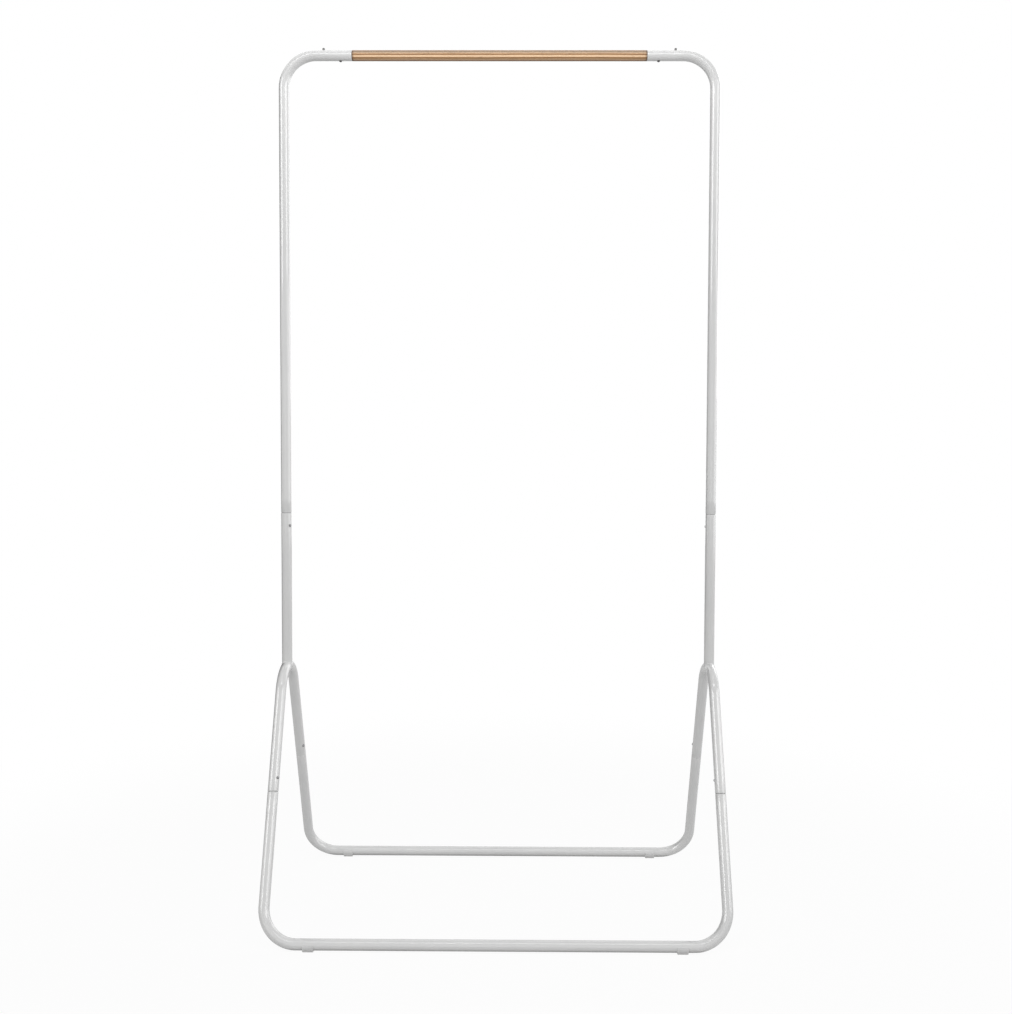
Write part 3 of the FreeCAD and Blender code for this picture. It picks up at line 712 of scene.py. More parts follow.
class BentLine:
    """Straight runs in one plane, joined by tangent arcs at their corners."""

    def __init__(self, corners: Sequence[Sequence[float]], radius: float) -> None:
        """Works out where each run and arc starts.

        An arc leaves its incoming run before the corner by the radius times the tangent of half the
        turn, and meets the outgoing run as far past the corner.

        Args:
            corners: Ends and corners of the line, at least three.
            radius: Radius of the arcs.
        """
        points = np.asarray(corners, float)
        runs = np.diff(points, axis=0)
        lengths = np.linalg.norm(runs, axis=1)
        headings = runs / lengths[:, None]
        turns = np.arccos(np.clip(np.sum(headings[:-1] * headings[1:], axis=1), -1, 1))
        cuts = radius * np.tan(turns / 2)
        square = headings[1:] - headings[:-1] * np.cos(turns)[:, None]
        pieces = 2 * len(runs) - 1
        self._starts = np.empty((pieces, 3))
        self._headings = np.empty((pieces, 3))
        self._inward = np.zeros((pieces, 3))
        self._bends = np.zeros(pieces)
        self._spans = np.empty(pieces)
        self._starts[0::2] = points[:-1] + headings * np.r_[0.0, cuts][:, None]
        self._starts[1::2] = points[1:-1] - headings[:-1] * cuts[:, None]
        self._headings[0::2] = headings
        self._headings[1::2] = headings[:-1]
        self._inward[1::2] = square / np.sin(turns)[:, None]
        self._bends[1::2] = 1.0 / radius
        self._spans[0::2] = lengths - np.r_[0.0, cuts] - np.r_[cuts, 0.0]
        self._spans[1::2] = radius * turns
        self._offsets = np.r_[0.0, np.cumsum(self._spans)[:-1]]
        self.length = float(self._spans.sum())
        self.normal = np.cross(self._headings[1], self._inward[1])

    def at(self, distance: np.ndarray) -> tuple[np.ndarray, np.ndarray]:
        """Finds points and directions along the line.

        On an arc the point is the start plus the radius times the sine of the turned angle along the
        heading and the radius times one minus its cosine inwards.

        Args:
            distance: Distances from the start; outside the line its end runs go on.

        Returns:
            Points and unit directions, one row per distance.
        """
        index = np.clip(np.searchsorted(self._offsets, distance, "right") - 1, 0, len(self._offsets) - 1)
        gone = (distance - self._offsets[index])[:, None]
        bend = self._bends[index][:, None]
        angle = bend * gone
        safe = np.where(bend > 0, bend, 1.0)
        ahead = np.where(bend > 0, np.sin(angle) / safe, gone)
        aside = np.where(bend > 0, (1 - np.cos(angle)) / safe, 0.0)
        heading, inward = self._headings[index], self._inward[index]
        return (self._starts[index] + heading * ahead + inward * aside,
                heading * np.cos(angle) + inward * np.sin(angle))

    def stops(self, bend_step: float, run_step: float) -> np.ndarray:
        """Divides the line for rings: even steps of angle on arcs, even steps of length on runs.

        Args:
            bend_step: Largest step on an arc, as an angle.
            run_step: Largest step on a run.

        Returns:
            Distances from the start, with both ends.
        """
        rows = []
        for offset, span, bend in zip(self._offsets, self._spans, self._bends):
            step = bend_step / bend if bend > 0 else run_step
            count = max(int(math.ceil(span / step)), 1)
            rows.append(offset + span * np.arange(count) / count)
        return np.r_[np.concatenate(rows), self.length]


def grid_quads(rows: int, columns: int, wrap_rows: bool = False) -> np.ndarray:
    """Makes the faces of a grid of points whose columns wrap round, and whose rows may too.

    Args:
        rows: Number of rows.
        columns: Number of points in a row.
        wrap_rows: Joins the last row to the first.

    Returns:
        Point numbers, four per face.
    """
    row = np.arange(rows if wrap_rows else rows - 1)[:, None]
    column = np.arange(columns)[None, :]
    next_row, next_column = (row + 1) % rows, (column + 1) % columns
    corners = (row * columns + column, row * columns + next_column,
               next_row * columns + next_column, next_row * columns + column)
    return np.stack(corners, axis=-1).reshape(-1, 4)


def inside_out(points: np.ndarray, quads: np.ndarray) -> bool:
    """Tells whether faces point inwards, by adding up the volumes of their tetrahedra about the middle.

    Args:
        points: Vertex places.
        quads: Four-cornered faces.

    Returns:
        Whether the volume is negative.
    """
    centred = points - points.mean(axis=0)
    first, second, third, fourth = (centred[quads[:, number]] for number in range(4))
    return bool(np.einsum("ij,ij->", first, np.cross(second, third) + np.cross(third, fourth)) < 0)


def shade(mesh: bpy.types.Mesh) -> None:
    """Shades a mesh smooth, with sharp edges where its faces turn steeply."""
    mesh.shade_smooth()
    mesh.set_sharp_from_angle(angle=SHARP_ANGLE)


def mesh_piece(name: str, points: np.ndarray, quads: np.ndarray, fans: np.ndarray = NO_FANS,
               kept: Optional[Mapping[str, np.ndarray]] = None) -> bpy.types.Object:
    """Puts arrays into a smooth-shaded mesh object at the origin.

    Args:
        name: Name of the piece.
        points: Vertex places, in any shape that ends in three.
        quads: Four-cornered faces.
        fans: Three-cornered faces.
        kept: Numbers to keep at the vertices, by name.

    Returns:
        The new object.
    """
    flat = points.reshape(-1, 3)
    step = -1 if inside_out(flat, quads) else 1
    mesh = bpy.data.meshes.new(name)
    mesh.from_pydata(flat.tolist(), [], quads[:, ::step].tolist() + fans[:, ::step].tolist())
    for key, numbers in (kept or {}).items():
        layer = mesh.attributes.new(key, "FLOAT", "POINT")
        layer.data.foreach_set("value", np.ascontiguousarray(numbers, np.float32).ravel())
    shade(mesh)
    piece = bpy.data.objects.new(name, mesh)
    bpy.context.scene.collection.objects.link(piece)
    return piece


def capped_piece(name: str, body: np.ndarray, poles: np.ndarray,
                 kept: Mapping[str, np.ndarray]) -> bpy.types.Object:
    """Closes a stack of rings with a fan of faces to a pole at each end.

    Args:
        name: Name of the piece.
        body: Ring points, as rows by sides by three.
        poles: First and last end point.
        kept: Numbers to keep, by name: the first pole's, each row's and the last pole's.

    Returns:
        The new object.
    """
    rows, sides = body.shape[:2]
    around = np.arange(sides)
    ahead = (around + 1) % sides
    last = (rows - 1) * sides
    first_pole, last_pole = (np.full(sides, rows * sides + number) for number in range(2))
    fans = np.concatenate([np.stack([first_pole, ahead, around], axis=-1),
                           np.stack([last_pole, last + around, last + ahead], axis=-1)])
    spread = {key: np.r_[np.repeat(numbers[1:-1], sides), numbers[0], numbers[-1]]
              for key, numbers in kept.items()}
    points = np.concatenate([body.reshape(-1, 3), poles])
    return mesh_piece(name, points, grid_quads(rows, sides), fans, spread)


def arc_rows(first: Sequence[float], last: Sequence[float], centre: Sequence[float],
             count: int = 6) -> np.ndarray:
    """Works out a quarter turn from one point to another.

    A row is the centre plus the cosine of the angle times the way to the first point plus its sine times
    the way to the last.

    Args:
        first: Point that the arc starts from.
        last: Point that it ends at.
        centre: Centre of the turn.
        count: Number of rows.

    Returns:
        Rows on the arc.
    """
    angle = np.linspace(0.0, QUARTER, count)
    middle = np.asarray(centre, float)
    return middle + circle_on(angle, np.asarray(first) - middle, np.asarray(last) - middle)


def eased_edge(way: float, radius: float, ease: float, rising: bool = False) -> np.ndarray:
    """Rounds the edge between a round skin and an end face.

    Args:
        way: Way along the axis of the end face.
        radius: Radius of the skin.
        ease: Radius of the rounding.
        rising: Runs from the face out to a skin further along, instead of from the skin to the face.

    Returns:
        Rows of (way along the axis, radius).
    """
    if rising:
        return arc_rows((way, radius - ease), (way + ease, radius), (way + ease, radius - ease))
    return arc_rows((way - ease, radius), (way, radius - ease), (way - ease, radius - ease))


def dome_rows(base: float, radius: float, height: float, count: int = 12) -> np.ndarray:
    """Works out a spherical cap from its rim to its top.

    The sphere's radius is the rim's radius squared plus the height squared, over twice the height.

    Args:
        base: Way along the axis of the rim.
        radius: Radius of the rim.
        height: Height of the top over the rim.
        count: Number of rows.

    Returns:
        Rows of (way along the axis, radius).
    """
    ball = (radius ** 2 + height ** 2) / (2 * height)
    angle = np.linspace(math.asin(min(radius / ball, 1.0)), 0.0, count)
    return np.stack([base + height - ball + ball * np.cos(angle), ball * np.sin(angle)], axis=-1)


def run_length(profile: np.ndarray) -> np.ndarray:
    """Distance along a profile from its first row."""
    return np.r_[0.0, np.cumsum(np.linalg.norm(np.diff(profile, axis=0), axis=1))]


def edge_marks(ways: np.ndarray, edges: Sequence[float], width: float) -> np.ndarray:
    """Largest of the bell curves of the distances to some edges, or 0 without edges."""
    return np.exp(-((ways[:, None] - np.asarray(edges, float)) / width) ** 2).max(axis=1, initial=0.0)


def turned_piece(name: str, profile: np.ndarray, origin: Sequence[float], axis: Sequence[float],
                 sides: int = 64, edges: Sequence[float] = (),
                 edge_width: float = 0.25 * MM) -> bpy.types.Object:
    """Turns a profile about an axis.

    A point is the origin plus the way along the axis plus the radius times the cosine and sine of the
    angle on two directions square to it. The profile starts and ends on the axis, where fans close it.

    Args:
        name: Name of the piece.
        profile: Rows of (way along the axis, radius).
        origin: Zero point of the axis.
        axis: Unit direction.
        sides: Points round the axis.
        edges: Ways along the axis at which there is an edge that handling or staining marks.
        edge_width: How far from such an edge the mark fades.

    Returns:
        The new object, which keeps its way along the profile and its marked edges.
    """
    axis = np.asarray(axis, float)
    rows = profile[1:-1]
    ring = circle_on(full_turn(sides), *square_pair(axis))
    body = np.asarray(origin) + rows[:, :1, None] * axis + rows[:, 1:, None] * ring[None]
    poles = np.asarray(origin) + profile[[0, -1], :1] * axis
    return capped_piece(name, body, poles, {
        "way": run_length(profile), "edge": edge_marks(profile[:, 0], edges, edge_width)})


@dataclass(frozen=True)
class Hole:
    """Round hole: its start, its direction, its radius, its depth and the points round it."""

    start: np.ndarray
    facing: np.ndarray
    radius: float
    depth: float
    sides: int = 48

    def cut(self, piece: bpy.types.Object) -> None:
        """Takes a turned drill's volume out of a piece.

        Args:
            piece: Piece to cut, which gets a new mesh.
        """
        profile = np.array([(0.0, 0.0), (0.0, self.radius), (self.depth, self.radius), (self.depth, 0.0)])
        drill = turned_piece("drill", profile, self.start, self.facing, self.sides)
        cutter = piece.modifiers.new("hole", "BOOLEAN")
        cutter.operation = "DIFFERENCE"
        cutter.solver = "EXACT"
        cutter.object = drill
        bpy.context.view_layer.update()
        done = bpy.data.meshes.new_from_object(piece.evaluated_get(bpy.context.evaluated_depsgraph_get()))
        piece.modifiers.clear()
        spare = (piece.data, drill.data)
        piece.data = done
        bpy.data.objects.remove(drill)
        for mesh in spare:
            bpy.data.meshes.remove(mesh)
        done.name = piece.name


def drilled(piece: bpy.types.Object, holes: Sequence[Hole]) -> bpy.types.Object:
    """Cuts round holes into a piece.

    Args:
        piece: Piece to cut.
        holes: Holes to cut.

    Returns:
        The same object with a cut mesh.
    """
    for hole in holes:
        hole.cut(piece)
    shade(piece.data)
    return piece


def folded_shut(piece: bpy.types.Object) -> bpy.types.Object:
    """Merges points that lie on each other, so that a folded edge closes.

    Args:
        piece: Piece to mend.

    Returns:
        The same object.
    """
    shape = bmesh.new()
    shape.from_mesh(piece.data)
    bmesh.ops.remove_doubles(shape, verts=shape.verts, dist=MERGE_REACH)
    shape.to_mesh(piece.data)
    shape.free()
    return piece


def dress(piece: bpy.types.Object, finish: Finish) -> None:
    """Gives an object one finish all over."""
    piece.data.materials.clear()
    piece.data.materials.append(finish.material())


def set_piece(piece: bpy.types.Object, finish: Finish, slot: Slot, body: str, *nodes: str) -> None:
    """Gives a piece its finish, hangs it on the body that carries it and hides the solids that it stands for.

    Args:
        piece: Finished mesh object.
        finish: Finish to put on it.
        slot: Material slot of the part's record; not used.
        body: Body that it rides on.
        nodes: Solids that it replaces.
    """
    dress(piece, finish)
    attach(piece, body)
    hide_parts(*nodes)
    LOG.info("%s: %s faces, %s, on %s", piece.name, len(piece.data.polygons), finish.name, body)


# Sizes

@dataclass(frozen=True)
class NodeBox:
    """Box of one solid at rest."""

    low: np.ndarray
    high: np.ndarray

    @classmethod
    def of(cls, node: str) -> "NodeBox":
        """Reads a solid's box from the frame."""
        low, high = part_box(node)
        return cls(np.array(low), np.array(high))

    @property
    def centre(self) -> np.ndarray:
        """Middle of the box."""
        return (self.low + self.high) / 2

    @property
    def size(self) -> np.ndarray:
        """Lengths of the box."""
        return self.high - self.low


@dataclass(frozen=True)
class ButtonPlace:
    """Snap button as packed: the point of its tube's axis that it faces away from, its facing and size."""

    centre: np.ndarray
    facing: np.ndarray
    clenched: float
    tip: float
    radius: float

    @classmethod
    def of(cls, joint: Mapping[str, Any], button: bpy.types.Object, post_x: float) -> "ButtonPlace":
        """Reads a button off its joint's axis and the points of its solid.

        The pin is round, so the middle of its points across its axis lies on that axis, which is then
        followed to the upright plane through the post.

        Args:
            joint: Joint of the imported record.
            button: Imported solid.
            post_x: Distance of the posts' axes from the middle.

        Returns:
            The button's place; its clenched end and its tip are ways from the centre.
        """
        facing = unit(-np.asarray(joint["axis"], float))
        flat = np.empty(3 * len(button.data.vertices), np.float32)
        button.data.vertices.foreach_get("co", flat)
        points = flat.reshape(-1, 3).astype(float)
        spans = [(direction, points @ direction) for direction in square_pair(facing)]
        on_axis = sum(direction * (span.min() + span.max()) / 2 for direction, span in spans)
        plane = math.copysign(post_x, points[:, 0].mean())
        centre = on_axis + facing * (plane - on_axis[0]) / facing[0]
        ways = (points - centre) @ facing
        return cls(centre, facing, float(ways.min()), float(ways.max()), float(np.ptp(spans[0][1]) / 2))

    def hole(self, play: float, start: float, depth: float) -> Hole:
        """Hole for the button with some radial play, from some way along its axis."""
        return Hole(self.centre + start * self.facing, self.facing, self.radius + play, depth)


@dataclass(frozen=True)
class RailPlan:
    """Sizes and places that the pieces share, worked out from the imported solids."""

    tube_radius: float
    post_x: float
    arm_end_x: float
    rail_z: float
    post_joint_z: float
    crest_z: float
    bar_y: float
    bar_z: float
    lean: float
    leg_joint: float
    spigot: float
    buttons: Mapping[str, ButtonPlace]

    @classmethod
    def from_frame(cls, frame: Mapping[str, Any]) -> "RailPlan":
        """Reads the plan off the boxes of a few solids and the joints.

        A leg's lean is the slope from the floor bar's axis to its button's place on the leg's axis.

        Args:
            frame: Loaded frame.

        Returns:
            The plan.
        """
        post, upper, dowel = (NodeBox.of(node) for node in ("post_right", "upper_tube_right", "rail_dowel"))
        foot, base = NodeBox.of("foot_rear_right"), NodeBox.of("base_rear")
        post_x = float(post.centre[0])
        buttons = {}
        for joint in frame["joints"]:
            name = joint["name"].removeprefix("press_")
            buttons[name] = ButtonPlace.of(joint, frame["nodes"][f"button_{name}"], post_x)
        tube_radius = float(post.size[1] / 2)
        bar_y, bar_z = float(foot.centre[1]), float(base.low[2] + tube_radius)
        on_leg = buttons["leg_rear_right"].centre
        rise, run = float(on_leg[2] - bar_z), float(bar_y - on_leg[1])
        button_set = float(post.high[2] - buttons["post_right"].centre[2])
        return cls(
            tube_radius=tube_radius,
            post_x=post_x,
            arm_end_x=float(upper.low[0]),
            rail_z=float(dowel.centre[2]),
            post_joint_z=float(post.high[2]),
            crest_z=float(post.low[2]),
            bar_y=bar_y,
            bar_z=bar_z,
            lean=math.atan2(run, rise),
            leg_joint=math.hypot(run, rise) - button_set,
            spigot=float(post.high[2] - upper.low[2]),
            buttons=buttons,
        )

    @property
    def apex_z(self) -> float:
        """Height at which the straight legs of one side would meet."""
        return self.bar_z + self.bar_y / math.tan(self.lean)

    @property
    def bend_radius(self) -> float:
        """Radius that brings the leg bend's crest down from the apex to the post's foot."""
        return (self.apex_z - self.crest_z) / (1 / math.sin(self.lean) - 1)

    @property
    def bend_centre_z(self) -> float:
        """Height of the centre of the leg bend."""
        return self.crest_z - self.bend_radius

    def leg_point(self, side: Side, depth: Depth, way: float) -> np.ndarray:
        """Finds a point on a leg's axis.

        Args:
            side: Side of the rail.
            depth: Front or rear leg.
            way: Way up the leg from the floor bar's axis.

        Returns:
            The point.
        """
        return np.array([side.value * self.post_x,
                         depth.value * (self.bar_y - way * math.sin(self.lean)),
                         self.bar_z + way * math.cos(self.lean)])


@dataclass(frozen=True)
class TubeStock:
    """Round steel tube and the ways its ends are finished."""

    radius: float
    spigot: float
    wall: float = 1.0 * MM
    slip: float = 0.2 * MM
    edge: float = 0.6 * MM
    swage: float = 1.2 * MM
    hole_play: float = 0.2 * MM
    sides: int = 96
    cone_rows: int = 9
    bend_step: float = math.radians(2.25)
    run_step: float = 0.028

    @property
    def bore(self) -> float:
        """Inside radius."""
        return self.radius - self.wall

    def end_rows(self, end: TubeEnd) -> np.ndarray:
        """Works out a tube's end from the outer skin round to the bore.

        A cut end has a quarter-round edge outside and a smaller one inside. A spigot has an S-shaped
        cone, half a cosine wave deep, then a straight run with a rounded tip.

        Args:
            end: Finish of the end.

        Returns:
            Rows of (way past the tube's end, radius).
        """
        if end is TubeEnd.CUT:
            inner = self.edge / 2
            inside = arc_rows((0.0, self.bore + inner), (-inner, self.bore), (-inner, self.bore + inner))
            return np.concatenate([eased_edge(0.0, self.radius, self.edge), inside])
        slim = self.bore - self.slip
        slim_bore = slim - self.wall
        step = np.linspace(0.0, 1.0, self.cone_rows)
        drop = (slim - self.radius) * (1 - np.cos(math.pi * step)) / 2
        return np.concatenate([
            np.stack([self.swage * (step - 1), self.radius + drop], axis=-1),
            eased_edge(self.spigot, slim, self.edge),
            [(self.spigot, slim_bore), (0.0, slim_bore), (-self.swage, self.bore)],
        ])

    def through(self, button: ButtonPlace) -> Hole:
        """Hole for a button through both walls."""
        return button.hole(self.hole_play, -self.radius - self.wall, 2 * (self.radius + self.wall))

    def one_wall(self, button: ButtonPlace) -> Hole:
        """Hole for a button through the wall that it faces."""
        return button.hole(self.hole_play, 0.0, self.radius + self.wall)

    def skin(self, name: str, points: np.ndarray, radius: np.ndarray, past: np.ndarray) -> bpy.types.Object:
        """Closes rings of points to a tube with a wall.

        The wear on the ends is a bell curve of the way past the end, on all but the bore.

        Args:
            name: Name of the piece.
            points: Ring points, as rows by sides by three.
            radius: Radius of each row.
            past: Way of each row past the tube's end.

        Returns:
            The new object, which keeps its worn edges and its bore.
        """
        bare = radius < self.bore + self.edge / 4
        worn = edge_marks(past, (0.0,), self.edge) * ~bare
        kept = {key: np.repeat(numbers, self.sides) for key, numbers in (("edge", worn), ("bore", bare))}
        return mesh_piece(name, points, grid_quads(len(radius), self.sides, True), kept=kept)

    def piece(self, name: str, line: BentLine, ends: tuple[TubeEnd, TubeEnd]) -> bpy.types.Object:
        """Makes a tube with a wall, as one closed skin.

        A ring of points is carried along the centre line, out over one end, along the outside, round the
        other end and back along the bore. A point is the centre plus the radius times the cosine and
        sine of the angle on the plane's normal and on the direction square to it.

        Args:
            name: Name of the piece.
            line: Centre line.
            ends: Finish of the first and the last end.

        Returns:
            The new object.
        """
        first, last = (self.end_rows(end) for end in ends)
        margin = 2 * self.swage
        body = line.stops(self.bend_step, self.run_step)
        body = body[(body > margin) & (body < line.length - margin)]
        levels = (self.radius, self.bore, FAR_FROM_END)
        outside, inside, between = (np.full(len(body), level) for level in levels)
        distance = np.r_[-first[::-1, 0], body, line.length + last[:, 0], body[::-1]]
        radius = np.r_[first[::-1, 1], outside, last[:, 1], inside]
        past = np.r_[first[::-1, 0], between, last[:, 0], between]
        centre, heading = line.at(distance)
        across = np.cross(heading, line.normal)
        ring = circle_on(full_turn(self.sides), line.normal, across[:, None, :])
        return self.skin(name, centre[:, None, :] + radius[:, None, None] * ring, radius, past)


# Sub-assemblies

class SubAssembly(ABC):
    """Group of pieces that are made and dressed together."""

    @abstractmethod
    def build(self) -> None:
        """Makes and dresses the pieces."""


@dataclass(frozen=True)
class BarScrew(SubAssembly):
    """Round-headed wood screw with a cross slot, driven up into the wooden bar from below."""

    plan: RailPlan
    side: Side
    dome: float = 1.4 * MM
    dome_rows: int = 26
    head_ease: float = 0.3 * MM
    head_polish: float = 0.4 * MM
    slot_half_width: float = 0.45 * MM
    slot_half_length: float = 1.5 * MM
    slot_depth: float = 1.0 * MM
    slot_ease: float = 0.12 * MM
    shank: float = 1.5 * MM
    neck: float = 0.8 * MM
    plain: float = 1.4 * MM
    thread_start: float = 1.5 * MM
    thread_pitch: float = 1.25 * MM
    thread_depth: float = 0.35 * MM
    thread_rows: int = 90
    point: float = 2.5 * MM
    point_plain: float = 0.1 * MM
    point_radius: float = 0.05 * MM
    sides: int = 96

    def build(self) -> None:
        """Makes and dresses the screw."""
        set_piece(self.screw(), STUD_STEEL, Slot.STUD, FRAME_BODY, f"rail_screw_{self.side.word}")

    def profile(self, head: float, tall: float, end: float) -> np.ndarray:
        """Works out the turned form from the head's top up along the shank to the point.

        Args:
            head: Radius of the head.
            tall: Height of the head.
            end: Length of the screw.

        Returns:
            Rows of (way along the axis, radius).
        """
        top = dome_rows(0.0, head, self.dome, self.dome_rows)[::-1] * MIRRORED + (self.dome, 0.0)
        threaded = np.linspace(tall + self.thread_start, end - self.point, self.thread_rows)
        return np.concatenate([
            top[1:],
            eased_edge(tall, head, self.head_ease),
            [(tall, self.shank), (tall + self.neck, self.shank)],
            np.stack([threaded, np.full(self.thread_rows, self.shank)], axis=-1),
            [(end, self.point_radius)],
        ])

    def within(self, value: np.ndarray, limit: float) -> np.ndarray:
        """Soft mask of the values nearer to zero than a limit."""
        return np.clip((limit - np.abs(value)) / self.slot_ease + 0.5, 0.0, 1.0)

    def screw(self) -> bpy.types.Object:
        """Makes the screw.

        The radius is a turned profile. A cross is pressed into the head: the way along the axis grows to
        the slot's depth where the point lies within either arm of the cross. On the shank the radius
        shrinks with a triangle wave of the way over the pitch minus the angle over a full turn.

        Returns:
            The new object, which keeps its way along the profile and the head's edge.
        """
        box = NodeBox.of(f"rail_screw_{self.side.word}")
        tall = self.plan.rail_z - self.plan.tube_radius - float(box.low[2])
        end = float(box.size[2])
        profile = self.profile(float(box.size[0] / 2), tall, end)
        angle = full_turn(self.sides)[None, :]
        way, radius = profile[:, :1], profile[:, 1:]
        x, y = radius * np.cos(angle), radius * np.sin(angle)
        width, length = self.slot_half_width, self.slot_half_length
        cross = np.maximum(self.within(x, width) * self.within(y, length),
                           self.within(y, width) * self.within(x, length))
        sunk = way + cross * np.maximum(self.slot_depth - way, 0.0) * (way < self.dome)
        turns = way / self.thread_pitch - angle / TURN
        ridge = 1 - 2 * np.abs(turns - np.floor(turns) - 0.5)
        threaded = (way > tall + self.plain) & (way < end - self.point_plain)
        grown = np.where(threaded, radius - self.thread_depth * ridge, radius)
        foot = np.array([box.centre[0], 0.0, float(box.low[2])])
        body = foot + np.stack([grown * np.cos(angle), grown * np.sin(angle), sunk], axis=-1)
        poles = foot + np.array([(0.0, 0.0, self.slot_depth), (0.0, 0.0, end)])
        polish = edge_marks(profile[:, 0], (self.dome,), self.head_polish)
        marks = {"way": run_length(profile), "edge": polish}
        return capped_piece(f"bar_screw_{self.side.word}", body, poles,
                            {key: np.r_[0.0, numbers, 0.0] for key, numbers in marks.items()})


@dataclass(frozen=True)
class HangingBar(SubAssembly):
    """Round wooden bar with turned tenons, and the screws that hold it."""

    plan: RailPlan
    stock: TubeStock
    tenon_play: float = 0.1 * MM
    ease: float = 0.5 * MM
    end_stain: float = 3.0 * MM
    middle_rows: int = 24
    stain_rows: int = 8
    sides: int = 128

    def build(self) -> None:
        """Makes and dresses the bar and its two screws."""
        set_piece(self.bar(), WOOD, Slot.WOOD, FRAME_BODY, "rail_dowel")
        for side in Side:
            BarScrew(self.plan, side).build()

    def bar(self) -> bpy.types.Object:
        """Makes the bar: its half profile is shoulder, eased edge and tenon, mirrored about the middle.

        Returns:
            The new object, which keeps its stained shoulders.
        """
        shoulder, end = self.plan.arm_end_x, float(NodeBox.of("rail_dowel").high[0])
        radius, tenon = self.plan.tube_radius, self.stock.bore - self.tenon_play
        ease = self.ease
        ways = np.r_[np.linspace(0.0, shoulder - 4 * self.end_stain, self.middle_rows),
                     np.linspace(shoulder - 3 * self.end_stain, shoulder - 2 * ease, self.stain_rows)]
        half = np.concatenate([
            np.stack([ways, np.full(len(ways), radius)], axis=-1),
            eased_edge(shoulder, radius, ease),
            [(shoulder, tenon), (end - ease, tenon), (end, tenon - ease), (end, 0.0)],
        ])
        profile = np.concatenate([half[::-1] * MIRRORED, half[1:]])
        return turned_piece("wooden_bar", profile, (0.0, 0.0, self.plan.rail_z), X_AXIS, self.sides,
                            (-shoulder, shoulder), self.end_stain)


@dataclass(frozen=True)
class CornerTube(SubAssembly):
    """Upper tube of one side: arm, corner bend, long post and spigot, with its hanger stop."""

    plan: RailPlan
    stock: TubeStock
    side: Side
    stop_dome: float = 1.5 * MM
    stop_waist: float = 0.25 * MM
    flange: float = 0.5 * MM
    flange_ease: float = 0.15 * MM
    flange_sunk: float = 0.2 * MM
    shank_radius: float = 1.5 * MM
    tail: float = 0.8 * MM
    tail_waist: float = 0.3 * MM

    def build(self) -> None:
        """Makes and dresses the tube and its stop."""
        word = self.side.word
        set_piece(self.tube(), PAINT, Slot.TUBE, FRAME_BODY, f"upper_tube_{word}")
        set_piece(self.stop(), STUD_STEEL, Slot.STUD, FRAME_BODY, f"hanger_stop_{word}")

    def tube(self) -> bpy.types.Object:
        """Makes the tube from the wooden bar's shoulder round the corner down to the post joint.

        Returns:
            The new object, drilled for the post's button.
        """
        plan, sign = self.plan, self.side.value
        line = BentLine([
            (sign * plan.arm_end_x, 0.0, plan.rail_z),
            (sign * plan.post_x, 0.0, plan.rail_z),
            (sign * plan.post_x, 0.0, plan.post_joint_z),
        ], plan.bend_radius)
        tube = self.stock.piece(f"corner_tube_{self.side.word}", line, (TubeEnd.CUT, TubeEnd.SPIGOT))
        return drilled(tube, [self.stock.through(plan.buttons[f"post_{self.side.word}"])])

    def stop(self) -> bpy.types.Object:
        """Makes the stud by turning its profile: flared tail, shank, small flange, straight side, domed top.

        Returns:
            The new object.
        """
        box = NodeBox.of(f"hanger_stop_{self.side.word}")
        seat = self.plan.rail_z + self.plan.tube_radius
        radius, bottom = float(box.size[0] / 2), float(box.low[2]) - seat
        rim = float(box.high[2]) - self.stop_dome - seat
        tail_radius, side_radius = radius - self.tail_waist, radius - self.stop_waist
        profile = np.concatenate([
            [(bottom, 0.0), (bottom, tail_radius), (bottom + self.tail, tail_radius),
             (bottom + self.tail, self.shank_radius), (-self.flange_sunk, self.shank_radius),
             (-self.flange_sunk, radius)],
            eased_edge(self.flange, radius, self.flange_ease),
            [(self.flange, side_radius), (rim, side_radius)],
            dome_rows(rim, side_radius, self.stop_dome)[1:],
        ])
        name, origin = f"hanger_stud_{self.side.word}", (box.centre[0], 0.0, seat)
        return turned_piece(name, profile, origin, Z_AXIS, edges=(self.flange, rim))


